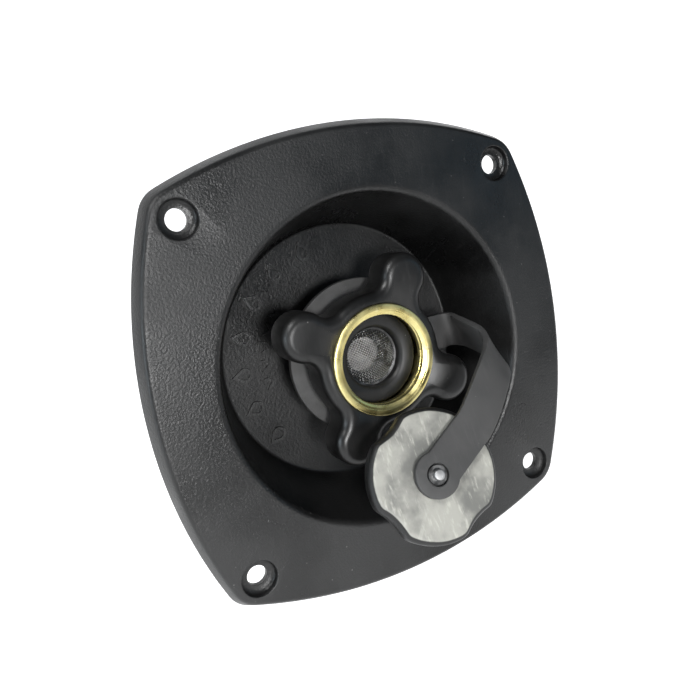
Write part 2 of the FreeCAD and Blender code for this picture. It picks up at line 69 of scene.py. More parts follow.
def bridge(rings, closed=False, capFirst=False, capLast=False):
    count = len(rings[0])
    points = [p for ring in rings for p in ring]
    faces = []
    for i in range(len(rings) if closed else len(rings) - 1):
        a = i * count
        b = ((i + 1) % len(rings)) * count
        for k in range(count):
            n = (k + 1) % count
            faces.append((a + k, a + n, b + n, b + k))
    if capFirst:
        faces.append(tuple(range(count)))
    if capLast:
        last = (len(rings) - 1) * count
        faces.append(tuple(last + k for k in reversed(range(count))))
    return points, faces


def roundCorner(r0, y0, size, start, end, steps):
    # quarter arcs and the like, as (radius, y) points about a centre
    found = []
    for i in range(steps + 1):
        a = math.radians(start + (end - start) * i / steps)
        found.append((r0 + size * math.cos(a), y0 + size * math.sin(a)))
    return found


def meshFrom(name, points, faces, sharp=35, fixNormals=True):
    mesh = bpy.data.meshes.new(name)
    mesh.from_pydata([Vector(p) * millimetre for p in points], [], faces)
    if fixNormals:
        work = bmesh.new()
        work.from_mesh(mesh)
        bmesh.ops.remove_doubles(work, verts=work.verts, dist=2e-7)
        bmesh.ops.recalc_face_normals(work, faces=work.faces)
        work.to_mesh(mesh)
        work.free()
    mesh.shade_smooth()
    mesh.set_sharp_from_angle(angle=math.radians(sharp))
    piece = bpy.data.objects.new(name, mesh)
    bpy.context.scene.collection.objects.link(piece)
    return piece


def turned(name, profile, count=192, sharp=35):
    angles = evenAngles(count)
    rings = [circle(r, y, angles) for r, y in profile]
    return meshFrom(name, *bridge(rings, closed=True), sharp=sharp)


def bake(piece):
    # the evaluated mesh takes the place of the modifiers
    graph = bpy.context.evaluated_depsgraph_get()
    mesh = bpy.data.meshes.new_from_object(piece.evaluated_get(graph))
    piece.modifiers.clear()
    old = piece.data
    piece.data = mesh
    bpy.data.meshes.remove(old)
    return piece


def carve(piece, cutter):
    # takes the cutter's shape out of the piece and removes the cutter
    cut = piece.modifiers.new("carve", "BOOLEAN")
    cut.operation = "DIFFERENCE"
    cut.solver = "EXACT"
    cut.object = cutter
    bake(piece)
    bpy.data.objects.remove(cutter)


def ribShape(name, corners):
    # a rib 2 mm thick, its side view given as (radius, y) corners
    rings = [[(x, y, z) for x, y in corners] for z in (-1.0, 1.0)]
    return meshFrom(name, *bridge(rings, capFirst=True, capLast=True))


def smoothAgain(piece, sharp=35):
    piece.data.shade_smooth()
    piece.data.set_sharp_from_angle(angle=math.radians(sharp))
    return piece


def finish(piece, material, body, nodes=()):
    piece.data.materials.clear()
    piece.data.materials.append(material)
    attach(piece, body)
    if nodes:
        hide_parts(*nodes)
    return piece


# shader tools

def addNode(tree, kind, **values):
    node = tree.nodes.new(kind)
    for key, value in values.items():
        setattr(node, key, value)
    return node


def mathNode(tree, operation, a, b=None):
    node = addNode(tree, "ShaderNodeMath", operation=operation)
    for socket, value in ((node.inputs[0], a), (node.inputs[1], b)):
        if value is None:
            continue
        if isinstance(value, (int, float)):
            socket.default_value = value
        else:
            tree.links.new(value, socket)
    return node.outputs[0]


def rampNode(tree, factor, low, high):
    node = addNode(tree, "ShaderNodeMapRange", interpolation_type="SMOOTHSTEP")
    node.inputs["From Min"].default_value = low
    node.inputs["From Max"].default_value = high
    tree.links.new(factor, node.inputs["Value"])
    return node.outputs["Result"]


def effectGroup(name, inputs, outputs):
    tree = bpy.data.node_groups.new(name, "ShaderNodeTree")
    for label, kind, value in inputs:
        socket = tree.interface.new_socket(label, in_out="INPUT", socket_type=kind)
        socket.default_value = value
    for label, kind in outputs:
        tree.interface.new_socket(label, in_out="OUTPUT", socket_type=kind)
    return tree, tree.nodes.new("NodeGroupInput"), tree.nodes.new("NodeGroupOutput")


def makeMouldedGrain():
    # fine spark-eroded grain with soft sink patches, for moulded plastic and rubber
    tree, given, put = effectGroup(
        "mouldedGrain",
        [("Grain Scale", "NodeSocketFloat", 2500.0), ("Patch Scale", "NodeSocketFloat", 60.0),
         ("Patch Share", "NodeSocketFloat", 0.5)],
        [("Height", "NodeSocketFloat"), ("Patches", "NodeSocketFloat")])
    place = addNode(tree, "ShaderNodeTexCoord")
    grain = addNode(tree, "ShaderNodeTexNoise")
    grain.inputs["Detail"].default_value = 3.0
    grain.inputs["Roughness"].default_value = 0.6
    patch = addNode(tree, "ShaderNodeTexNoise")
    patch.inputs["Detail"].default_value = 4.0
    patch.inputs["Roughness"].default_value = 0.55
    for node, label in ((grain, "Grain Scale"), (patch, "Patch Scale")):
        tree.links.new(place.outputs["Object"], node.inputs["Vector"])
        tree.links.new(given.outputs[label], node.inputs["Scale"])
    soft = rampNode(tree, patch.outputs["Fac"], 0.35, 0.65)
    waves = mathNode(tree, "MULTIPLY", soft, given.outputs["Patch Share"])
    tree.links.new(mathNode(tree, "ADD", grain.outputs["Fac"], waves), put.inputs["Height"])
    tree.links.new(soft, put.inputs["Patches"])
    return tree


def makeEdgeWear():
    # rubbed convex edges, broken up so the line is uneven
    tree, given, put = effectGroup(
        "edgeWear",
        [("Width", "NodeSocketFloat", 0.5), ("Break Up", "NodeSocketFloat", 300.0)],
        [("Mask", "NodeSocketFloat")])
    shape = addNode(tree, "ShaderNodeNewGeometry")
    place = addNode(tree, "ShaderNodeTexCoord")
    noise = addNode(tree, "ShaderNodeTexNoise")
    noise.inputs["Detail"].default_value = 4.0
    tree.links.new(place.outputs["Object"], noise.inputs["Vector"])
    tree.links.new(given.outputs["Break Up"], noise.inputs["Scale"])
    convex = rampNode(tree, shape.outputs["Pointiness"], 0.51, 0.60)
    broken = rampNode(tree, noise.outputs["Fac"], 0.35, 0.65)
    both = mathNode(tree, "MULTIPLY", convex, broken)
    tree.links.new(mathNode(tree, "MULTIPLY", both, given.outputs["Width"]), put.inputs["Mask"])
    return tree


def makeScuffs():
    # long thin rubs in two directions and a scatter of dust specks
    tree, given, put = effectGroup(
        "scuffs",
        [("Scale", "NodeSocketFloat", 120.0), ("Stretch", "NodeSocketFloat", 9.0),
         ("Dust Scale", "NodeSocketFloat", 900.0)],
        [("Rubs", "NodeSocketFloat"), ("Dust", "NodeSocketFloat")])
    place = addNode(tree, "ShaderNodeTexCoord")
    sums = []
    for turn in (0.5, -0.9, 1.9):
        lay = addNode(tree, "ShaderNodeMapping")
        lay.inputs["Rotation"].default_value = (0.2, turn, turn * 0.7)
        stretch = addNode(tree, "ShaderNodeCombineXYZ")
        stretch.inputs["Y"].default_value = 1.0
        stretch.inputs["Z"].default_value = 1.0
        tree.links.new(given.outputs["Stretch"], stretch.inputs["X"])
        tree.links.new(place.outputs["Object"], lay.inputs["Vector"])
        tree.links.new(stretch.outputs["Vector"], lay.inputs["Scale"])
        streak = addNode(tree, "ShaderNodeTexNoise")
        streak.inputs["Detail"].default_value = 6.0
        streak.inputs["Roughness"].default_value = 0.62
        tree.links.new(lay.outputs["Vector"], streak.inputs["Vector"])
        tree.links.new(given.outputs["Scale"], streak.inputs["Scale"])
        sums.append(rampNode(tree, streak.outputs["Fac"], 0.56, 0.74))
    rubs = mathNode(tree, "MAXIMUM", mathNode(tree, "MAXIMUM", sums[0], sums[1]), sums[2])
    dust = addNode(tree, "ShaderNodeTexVoronoi")
    tree.links.new(place.outputs["Object"], dust.inputs["Vector"])
    tree.links.new(given.outputs["Dust Scale"], dust.inputs["Scale"])
    specks = rampNode(tree, dust.outputs["Distance"], 0.16, 0.05)
    sparse = addNode(tree, "ShaderNodeTexNoise")
    sparse.inputs["Scale"].default_value = 420.0
    tree.links.new(place.outputs["Object"], sparse.inputs["Vector"])
    few = rampNode(tree, sparse.outputs["Fac"], 0.60, 0.72)
    tree.links.new(rubs, put.inputs["Rubs"])
    tree.links.new(mathNode(tree, "MULTIPLY", specks, few), put.inputs["Dust"])
    return tree


groups = {"grain": makeMouldedGrain(), "wear": makeEdgeWear(), "scuffs": makeScuffs()}
print("shader groups built")


def placeGroup(tree, key, **values):
    node = addNode(tree, "ShaderNodeGroup", node_tree=groups[key])
    for label, value in values.items():
        node.inputs[label.replace("_", " ")].default_value = value
    return node


def mixColour(tree, factor, a, b):
    node = addNode(tree, "ShaderNodeMix", data_type="RGBA")
    for socket, value in ((node.inputs[0], factor), (node.inputs[6], a), (node.inputs[7], b)):
        if isinstance(value, tuple):
            socket.default_value = value
        elif isinstance(value, float):
            socket.default_value = value
        else:
            tree.links.new(value, socket)
    return node.outputs[2]


def grey(level, warm=0.0):
    return (level * (1 + warm), level, level * (1 - warm), 1.0)


def paintedGlareMask(tree, side, patches):
    # painted reflection: the share of the surface that faces one way takes the light glare colour, its border
    # broken up by the patches
    place = addNode(tree, "ShaderNodeTexCoord")
    aim = addNode(tree, "ShaderNodeVectorMath", operation="DOT_PRODUCT")
    tree.links.new(place.outputs["Normal"], aim.inputs[0])
    aim.inputs[1].default_value = side
    ragged = mathNode(tree, "ADD", aim.outputs["Value"], mathNode(tree, "MULTIPLY", patches, 0.04))
    return rampNode(tree, ragged, 0.93, 1.0)


def mouldedMaterial(name, values):
    # one recipe for every plastic and rubber piece, each with its own values
    material = bpy.data.materials.new(name)
    material.use_nodes = True
    tree = material.node_tree
    shader = tree.nodes["Principled BSDF"]
    shader.inputs["IOR"].default_value = 1.49
    grain = placeGroup(tree, "grain", Grain_Scale=values["grainScale"], Patch_Scale=values["patchScale"],
                       Patch_Share=0.4)
    wear = placeGroup(tree, "wear", Width=values.get("wear", 0.4), Break_Up=260.0)
    scuffs = placeGroup(tree, "scuffs", Scale=values.get("scuffScale", 90.0),
                        Stretch=values.get("stretch", 8.0), Dust_Scale=700.0)
    base = mixColour(tree, grain.outputs["Patches"], values["dark"], values["light"])
    rubs = mathNode(tree, "MULTIPLY", scuffs.outputs["Rubs"], values.get("rubs", 0.2))
    base = mixColour(tree, rubs, base, values["rubbed"])
    base = mixColour(tree, wear.outputs["Mask"], base, values["rubbed"])
    dust = mathNode(tree, "MULTIPLY", scuffs.outputs["Dust"], values.get("dust", 0.5))
    base = mixColour(tree, dust, base, grey(0.35, 0.02))
    # painted reflection: the side given in the values keeps the light colour as painted glare, the rest takes the
    # black edge colour
    if "paintedGlareSide" in values:
        facing = paintedGlareMask(tree, values["paintedGlareSide"], grain.outputs["Patches"])
        base = mixColour(tree, facing, values["edge"], base)
    tree.links.new(base, shader.inputs["Base Color"])
    spread = mathNode(tree, "MULTIPLY", grain.outputs["Patches"], values.get("roughSpread", 0.1))
    rough = mathNode(tree, "ADD", spread, values["rough"])
    rough = mathNode(tree, "ADD", rough, mathNode(tree, "MULTIPLY", rubs, 0.25))
    tree.links.new(rough, shader.inputs["Roughness"])
    bump = addNode(tree, "ShaderNodeBump")
    bump.inputs["Strength"].default_value = values["bump"]
    bump.inputs["Distance"].default_value = values.get("bumpDistance", 0.00005)
    tree.links.new(grain.outputs["Height"], bump.inputs["Height"])
    tree.links.new(bump.outputs["Normal"], shader.inputs["Normal"])
    return material


def metalMaterial(name, values):
    # turning marks about the inlet axis, with dull and bright patches
    material = bpy.data.materials.new(name)
    material.use_nodes = True
    tree = material.node_tree
    shader = tree.nodes["Principled BSDF"]
    shader.inputs["Metallic"].default_value = 1.0
    grain = placeGroup(tree, "grain", Grain_Scale=values["grainScale"], Patch_Scale=values["patchScale"],
                       Patch_Share=0.2)
    wear = placeGroup(tree, "wear", Width=values.get("wear", 0.5), Break_Up=400.0)
    place = addNode(tree, "ShaderNodeTexCoord")
    parts = addNode(tree, "ShaderNodeSeparateXYZ")
    tree.links.new(place.outputs["Object"], parts.inputs["Vector"])
    across = mathNode(tree, "MULTIPLY", parts.outputs["X"], parts.outputs["X"])
    upward = mathNode(tree, "MULTIPLY", parts.outputs["Z"], parts.outputs["Z"])
    reach = mathNode(tree, "SQRT", mathNode(tree, "ADD", across, upward))
    along = addNode(tree, "ShaderNodeCombineXYZ")
    tree.links.new(reach, along.inputs["X"])
    tree.links.new(parts.outputs["Y"], along.inputs["Y"])
    lines = addNode(tree, "ShaderNodeTexNoise")
    lines.inputs["Scale"].default_value = values["lineScale"]
    lines.inputs["Detail"].default_value = 2.0
    tree.links.new(along.outputs["Vector"], lines.inputs["Vector"])
    base = mixColour(tree, grain.outputs["Patches"], values["dark"], values["light"])
    base = mixColour(tree, wear.outputs["Mask"], base, values["rubbed"])
    tree.links.new(base, shader.inputs["Base Color"])
    spread = mathNode(tree, "MULTIPLY", grain.outputs["Patches"], values.get("roughSpread", 0.15))
    tree.links.new(mathNode(tree, "ADD", spread, values["rough"]), shader.inputs["Roughness"])
    fine = mathNode(tree, "MULTIPLY", grain.outputs["Height"], 0.4)
    height = mathNode(tree, "ADD", lines.outputs["Fac"], fine)
    bump = addNode(tree, "ShaderNodeBump")
    bump.inputs["Strength"].default_value = values["bump"]
    bump.inputs["Distance"].default_value = 0.00003
    tree.links.new(height, bump.inputs["Height"])
    tree.links.new(bump.outputs["Normal"], shader.inputs["Normal"])
    return material


finishes = {
    "housing": {"dark": grey(0.0035), "light": grey(0.009), "rubbed": grey(0.05), "rough": 0.27,
                "roughSpread": 0.20, "grainScale": 1500.0, "patchScale": 34.0, "bump": 1.0,
                "bumpDistance": 0.00012, "rubs": 0.08, "wear": 0.3, "dust": 0.4},
    "knob": {"dark": grey(0.004, 0.02), "light": grey(0.007, 0.03), "rubbed": grey(0.04, 0.03),
             "rough": 0.32, "roughSpread": 0.10, "grainScale": 1800.0, "patchScale": 70.0,
             "bump": 0.30, "rubs": 0.12, "wear": 0.4, "dust": 0.45},
    "strap": {"dark": grey(0.036, 0.01), "light": grey(0.050, 0.02), "rubbed": grey(0.10), "rough": 0.55,
              "grainScale": 3200.0, "patchScale": 90.0, "bump": 0.35, "rubs": 0.2, "wear": 0.3},
    # the plug is black plastic (its edge colour); the light grey of its face and its streaks are a painted
    # reflection of glare, not wear
    "plug": {"dark": (0.15, 0.15, 0.138, 1.0), "light": (0.34, 0.335, 0.30, 1.0),
             "rubbed": (0.55, 0.54, 0.48, 1.0), "rough": 0.38, "roughSpread": 0.18,
             "grainScale": 1500.0, "patchScale": 95.0, "bump": 0.4, "rubs": 0.55,
             "scuffScale": 160.0, "stretch": 4.0, "wear": 0.2, "dust": 0.1,
             "paintedGlareSide": (-0.115, -0.930, 0.350), "edge": grey(0.008)},
    "washerRubber": {"dark": grey(0.004), "light": grey(0.009), "rubbed": grey(0.03), "rough": 0.38,
                     "grainScale": 2200.0, "patchScale": 160.0, "bump": 0.3, "wear": 0.4},
    "blackRubber": {"dark": grey(0.005), "light": grey(0.010), "rubbed": grey(0.03), "rough": 0.55,
                    "grainScale": 2400.0, "patchScale": 120.0, "bump": 0.35},
    "neckPlastic": {"dark": grey(0.006), "light": grey(0.011), "rubbed": grey(0.04), "rough": 0.4,
                    "grainScale": 2200.0, "patchScale": 80.0, "bump": 0.3},
    "regulatorPlastic": {"dark": grey(0.006), "light": grey(0.012), "rubbed": grey(0.05), "rough": 0.40,
                         "grainScale": 2300.0, "patchScale": 55.0, "bump": 0.45, "rubs": 0.12},
    "whitePlastic": {"dark": grey(0.60, 0.03), "light": grey(0.72, 0.03), "rubbed": grey(0.5, 0.02),
                     "rough": 0.38, "grainScale": 2200.0, "patchScale": 90.0, "bump": 0.15,
                     "rubs": 0.1, "dust": 0.1},
}
metals = {
    "brass": {"dark": (0.62, 0.52, 0.20, 1.0), "light": (0.84, 0.74, 0.34, 1.0),
              "rubbed": (0.95, 0.90, 0.58, 1.0), "rough": 0.24, "roughSpread": 0.14,
              "grainScale": 1600.0, "patchScale": 160.0, "lineScale": 5200.0, "bump": 0.30, "wear": 0.6},
    "steel": {"dark": grey(0.34), "light": grey(0.50), "rubbed": grey(0.75), "rough": 0.26,
              "grainScale": 1800.0, "patchScale": 200.0, "lineScale": 6000.0, "bump": 0.25},
    # the strainer steels are darker than bare steel; on the strainer mesh and rim this darkness is partly painted
    # shade of the deep inlet
    "meshSteel": {"dark": grey(0.16), "light": grey(0.30), "rubbed": grey(0.5), "rough": 0.22,
                  "grainScale": 1800.0, "patchScale": 200.0, "lineScale": 6000.0, "bump": 0.2},
    "darkSteel": {"dark": grey(0.045), "light": grey(0.09), "rubbed": grey(0.3), "rough": 0.32,
                  "grainScale": 1800.0, "patchScale": 260.0, "lineScale": 5000.0, "bump": 0.3},
    "studSteel": {"dark": grey(0.34), "light": grey(0.46), "rubbed": grey(0.6), "rough": 0.42,
                  "grainScale": 1800.0, "patchScale": 260.0, "lineScale": 5000.0, "bump": 0.3},
}
look = {key: mouldedMaterial(key, values) for key, values in finishes.items()}
look.update({key: metalMaterial(key, values) for key, values in metals.items()})
print("materials built:", len(look))


# housing: flange, recess and the marks on its floor

housingSizes = {"faceHalf": 61.6, "sideFlare": 2.0, "sideRound": 132.0, "cornerRound": 8.0, "edgeRound": 0.8,
                "screwPitch": 92.0, "screwHole": 2.7, "screwDish": 4.8, "rimRound": 2.0,
                "floorY": 21.0, "backY": 24.0, "neckHole": 10.15, "points": 640, "crowd": 0.11}


def flangeOutline(half, inset, y, angles):
    s = housingSizes
    sideC = half - s["sideRound"]
    reach = s["sideRound"] - s["cornerRound"]
    cornerC = (sideC + math.sqrt(2 * reach * reach - sideC * sideC)) / 2
    lean = math.atan2(cornerC, cornerC - sideC)
    bulge = s["sideRound"] - inset
    turn = math.atan2(bulge * math.sin(lean), sideC + bulge * math.cos(lean))
    ring = []
    for a in angles:
        quarter = round(a / (math.pi / 2)) * math.pi / 2
        off = a - quarter
        if abs(off) < turn:
            cx, cy, size = 0.0, sideC, bulge
        else:
            cx, cy, size = math.copysign(cornerC, off), cornerC, s["cornerRound"] - inset
        along = math.sin(off) * cx + math.cos(off) * cy
        reachOut = along + math.sqrt(along * along - cx * cx - cy * cy + size * size)
        ring.append((reachOut * math.cos(a), y, reachOut * math.sin(a)))
    return ring


def housingShell():
    s = housingSizes
    angles = evenAngles(s["points"], -s["crowd"])
    half, flare, edge = s["faceHalf"], s["sideFlare"], s["edgeRound"]
    face = -flangeT
    rings = [circle(r, y, angles) for r, y in (
        (s["neckHole"], s["backY"]), (s["neckHole"], s["floorY"] + 0.3), (s["neckHole"] + 0.3, s["floorY"]),
        (14.0, s["floorY"]), (26.0, s["floorY"]), (36.9, s["floorY"]), (37.3, 20.96), (37.62, 20.82),
        (37.84, 20.55), (38.0, 20.1), (38.7, 18.4), (39.04, 17.2), (39.94, 14.0), (41.2, 9.5), (42.47, 5.0),
        (43.45, 1.5), (44.02, -0.5))]
    for r, y in roundCorner(46.515, face + s["rimRound"], s["rimRound"], 195.7, 270, 9):
        rings.append(circle(r, y, angles))
    rings.append(circle(47.1, face, angles))
    rings.append(circle(50.5, face, angles))
    rings.append(flangeOutline(half, 5.0, face, angles))
    rings.append(flangeOutline(half, 1.2, face, angles))
    for step in range(6):
        a = math.radians(90 * step / 5)
        y = face + edge * (1 - math.cos(a))
        rings.append(flangeOutline(half + flare * (y - face) / flangeT, edge * (1 - math.sin(a)), y, angles))
    rings.append(flangeOutline(half + 0.3 * flare, 0.0, -2.8, angles))
    rings.append(flangeOutline(half + 0.92 * flare, 0.0, -0.3, angles))
    rings.append(flangeOutline(half + flare, 0.15, -0.08, angles))
    rings.append(flangeOutline(half + flare, 0.35, 0.0, angles))
    rings.append(flangeOutline(half + flare, 5.0, 0.0, angles))
    for r, y in ((48.9, 0.0), (48.0, 0.12), (47.5, 0.6), (47.0, 1.4), (44.45, 9.0), (40.7, 20.4), (40.35, 21.4),
                 (39.9, 22.5), (39.2, 23.4), (38.2, 23.9), (37.4, 24.0), (25.0, 24.0), (12.0, 24.0)):
        rings.append(circle(r, y, angles))
    return meshFrom("housingShell", *bridge(rings, closed=True), sharp=40)


def dishCutters():
    s = housingSizes
    lip = 0.35
    face = -flangeT
    profile = [(0.001, face - 3), (s["screwDish"] + lip, face - 3)]
    profile += roundCorner(s["screwDish"] + lip, face + lip, lip, 270, 180, 5)
    profile += [(s["screwDish"], face + 1.2)]
    for step in range(1, 6):
        a = math.radians(90 * step / 5)
        profile.append((s["screwDish"] - 2.1 * (1 - math.cos(a)), face + 1.2 + 1.2 * math.sin(a)))
    profile += [(s["screwHole"] + 0.12, face + 2.45), (s["screwHole"], face + 2.6), (s["screwHole"], 1.0),
                (0.001, 1.0)]
    angles = evenAngles(64)
    rings = [circle(r, y, angles) for r, y in profile]
    points, faces = bridge(rings, capFirst=True, capLast=True)
    every = []
    everyFace = []
    for sx in (-1, 1):
        for sz in (-1, 1):
            start = len(every)
            every += [(x + sx * s["screwPitch"] / 2, y, z + sz * s["screwPitch"] / 2) for x, y, z in points]
            everyFace += [tuple(start + i for i in loop) for loop in faces]
    return meshFrom("dishCutters", every, everyFace)


def geometryTree(name, inputs):
    tree = bpy.data.node_groups.new(name, "GeometryNodeTree")
    for label, kind, value in inputs:
        socket = tree.interface.new_socket(label, in_out="INPUT", socket_type=kind)
        if value is not None:
            socket.default_value = value
    tree.interface.new_socket("Geometry", in_out="OUTPUT", socket_type="NodeSocketGeometry")
    return tree, tree.nodes.new("NodeGroupInput"), tree.nodes.new("NodeGroupOutput")


def makeTurnAround():
    # copies of one piece turned about the inlet axis by even steps
    tree, given, put = geometryTree("turnAround", [
        ("Piece", "NodeSocketObject", None), ("Count", "NodeSocketInt", 6), ("First", "NodeSocketFloat", 0.0),
        ("Step", "NodeSocketFloat", 1.0), ("Finish", "NodeSocketMaterial", None)])
    info = addNode(tree, "GeometryNodeObjectInfo", transform_space="ORIGINAL")
    spots = addNode(tree, "GeometryNodePoints")
    index = addNode(tree, "GeometryNodeInputIndex")
    angle = addNode(tree, "ShaderNodeMath", operation="MULTIPLY_ADD")
    back = addNode(tree, "ShaderNodeMath", operation="MULTIPLY")
    back.inputs[1].default_value = -1.0
    lean = addNode(tree, "ShaderNodeCombineXYZ")
    spread = addNode(tree, "GeometryNodeInstanceOnPoints")
    whole = addNode(tree, "GeometryNodeRealizeInstances")
    coat = addNode(tree, "GeometryNodeSetMaterial")
    tree.links.new(given.outputs["Piece"], info.inputs["Object"])
    tree.links.new(given.outputs["Count"], spots.inputs["Count"])
    tree.links.new(index.outputs["Index"], angle.inputs[0])
    tree.links.new(given.outputs["Step"], angle.inputs[1])
    tree.links.new(given.outputs["First"], angle.inputs[2])
    tree.links.new(angle.outputs[0], back.inputs[0])
    tree.links.new(back.outputs[0], lean.inputs["Y"])
    tree.links.new(spots.outputs["Points"], spread.inputs["Points"])
    tree.links.new(info.outputs["Geometry"], spread.inputs["Instance"])
    tree.links.new(lean.outputs["Vector"], spread.inputs["Rotation"])
    tree.links.new(spread.outputs["Instances"], whole.inputs["Geometry"])
    tree.links.new(whole.outputs["Geometry"], coat.inputs["Geometry"])
    tree.links.new(given.outputs["Finish"], coat.inputs["Material"])
    tree.links.new(coat.outputs["Geometry"], put.inputs["Geometry"])
    return tree


turnAround = makeTurnAround()


def setInputs(modifier, values):
    for socket in modifier.node_group.interface.items_tree:
        if socket.in_out == "INPUT" and socket.name in values:
            modifier[socket.identifier] = values[socket.name]


def repeated(name, pattern, count, firstDegrees, stepDegrees, material):
    mesh = bpy.data.meshes.new(name)
    piece = bpy.data.objects.new(name, mesh)
    bpy.context.scene.collection.objects.link(piece)
    modifier = piece.modifiers.new("turnAround", "NODES")
    modifier.node_group = turnAround
    setInputs(modifier, {"Piece": pattern, "Count": count, "First": math.radians(firstDegrees),
                         "Step": math.radians(stepDegrees), "Finish": material})
    bake(piece)
    bpy.data.objects.remove(pattern)
    return smoothAgain(piece)


def raisedOutline(name, outline, hole, radius, y, tall):
    # a low raised shape on the recess floor, drawn with its top away from the inlet on +X
    low = [(radius + v, y + 0.2, u) for u, v in outline]
    high = [(radius + v * 0.97, y - tall, u * 0.97) for u, v in outline]
    rings = [low, high]
    if hole:
        rings += [[(radius + v, y - tall, u) for u, v in hole], [(radius + v, y + 0.2, u) for u, v in hole]]
        return meshFrom(name, *bridge(rings, closed=True))
    return meshFrom(name, *bridge(rings, capFirst=True, capLast=True))


def dropShape(size, scale, steps=28):
    r = 0.34 * size * scale
    tip = 0.62 * size * scale
    lean = math.acos(r / tip)
    ring = [(0.0, tip)]
    for i in range(steps):
        a = lean + (2 * math.pi - 2 * lean) * i / (steps - 1)
        ring.append((r * math.sin(a), r * math.cos(a)))
    return ring


def chevronShape(size):
    half = size / 2
    drop = size * 0.36
    return [(-half, half), (0, 0), (half, half), (half, half - drop), (0, -drop), (-half, half - drop)]


housing = housingShell()
carve(housing, dishCutters())
smoothAgain(housing, 38)
finish(housing, look["housing"], "fixed", ["housing"])
print("housing:", len(housing.data.polygons), "faces")

floorY = housingSizes["floorY"]
drop = raisedOutline("dropPattern", dropShape(6.4, 1.0), dropShape(6.4, 0.6), 31.5, floorY, 0.45)
drops = repeated("floorDrops", drop, 7, 103, 19, look["housing"])
chevron = raisedOutline("chevronPattern", chevronShape(3.4), None, 24.5, floorY, 0.4)
chevrons = repeated("floorChevrons", chevron, 5, 140, 12, look["housing"])
finish(drops, look["housing"], "fixed")
finish(chevrons, look["housing"], "fixed")


gussetCorners = [(46.5, -0.3), (50.8, -0.3), (50.8, 1.5), (44.5, 15.0), (41.4, 15.0)]
gussets = repeated("backGussets", ribShape("gussetPattern", gussetCorners), 8, 22.5, 45, look["housing"])
finish(gussets, look["housing"], "fixed")


# swivel knob

knobSizes = {"front": 0.4, "thick": 10.0, "lobeR": 30.0, "tipRound": 6.8, "hubR": 18.5, "rootRound": 4.5,
             "firstLobe": 61.5, "frontRound": 2.8, "backRound": 1.0, "boreR": 15.25}


def lobeOutline(inset, y):
    # round hub and four round-tipped lobes, joined by small hollow arcs
    s = knobSizes
    tipC = s["lobeR"] - s["tipRound"]
    toTip = s["tipRound"] + s["rootRound"]
    toHub = s["hubR"] + s["rootRound"]
    rootX = (toHub ** 2 - toTip ** 2 + tipC ** 2) / (2 * tipC)
    rootY = math.sqrt(toHub ** 2 - rootX ** 2)
    tipEnd = math.atan2(rootY, rootX - tipC)
    hubStart = math.atan2(rootY, rootX)
    tip, hub, root = s["tipRound"] - inset, s["hubR"] - inset, s["rootRound"] + inset

    def arc(cx, cy, size, start, end, steps):
        return [(cx + size * math.cos(start + (end - start) * i / steps),
                 cy + size * math.sin(start + (end - start) * i / steps)) for i in range(steps)]

    half = arc(tipC, 0.0, tip, 0.0, tipEnd, 26)
    half += arc(rootX, rootY, root, tipEnd - math.pi, hubStart - math.pi, 18)
    half += arc(0.0, 0.0, hub, hubStart, math.pi / 4, 14)
    middle = (hub * math.cos(math.pi / 4), hub * math.sin(math.pi / 4))
    lobe = [(x, -z) for x, z in [middle] + half[:0:-1]] + half
    ring = []
    for k in range(4):
        turn = math.radians(s["firstLobe"] + 90 * k)
        c, n = math.cos(turn), math.sin(turn)
        ring += [(x * c - z * n, y, x * n + z * c) for x, z in lobe]
    return ring


def outlineAngles(inset):
    # polar angles of the outline's own points, kept in rising order
    ring = lobeOutline(inset, 0.0)
    count = len(ring) // 4
    found = []
    for k in range(4):
        turn = math.radians(knobSizes["firstLobe"] + 90 * k)
        lobe = ring[k * count:(k + 1) * count]
        off = sorted((math.atan2(z, x) - turn + math.pi) % (2 * math.pi) - math.pi for x, y, z in lobe)
        found += [turn + a for a in off]
    return found


def knobBody():
    s = knobSizes
    ahead = outlineAngles(s["frontRound"])
    behind = outlineAngles(s["backRound"])
    face = faceAt(s["front"])
    back = face + s["thick"]
    rings = [circle(r, y, behind) for r, y in ((10.3, 8.2), (10.3, 6.4), (s["boreR"], 6.4))]
    rings += [circle(r, y, ahead) for r, y in (
        (s["boreR"], face + 0.3), (s["boreR"] + 0.05, face + 0.1), (s["boreR"] + 0.15, face))]
    for step in range(11):
        a = math.radians(90 * step / 10)
        rings.append(lobeOutline(s["frontRound"] * (1 - math.sin(a)), face + s["frontRound"] * (1 - math.cos(a))))
    rings.append(lobeOutline(0.0, face + 5.5))
    for step in range(5):
        a = math.radians(90 * step / 4)
        rings.append(lobeOutline(s["backRound"] * (1 - math.cos(a)), back - s["backRound"] * (1 - math.sin(a))))
    rings += [circle(r, y, behind) for r, y in (
        (17.1, back), (17.0, back + 0.25), (17.0, 7.7), (16.85, 8.05), (16.5, 8.2))]
    return meshFrom("knobBody", *bridge(rings, closed=True), sharp=50)


finish(knobBody(), look["knob"], "knob", ["swivel_knob"])


# brass insert with its helical thread

brassSizes = {"front": -5.0, "end": 6.4, "outerR": 15.25, "crestR": 12.35, "rootR": 13.3, "pitch": 2.209,
              "threadFrom": -4.7, "threadTo": -0.9, "grooveShare": 0.22, "rows": 84, "points": 256}


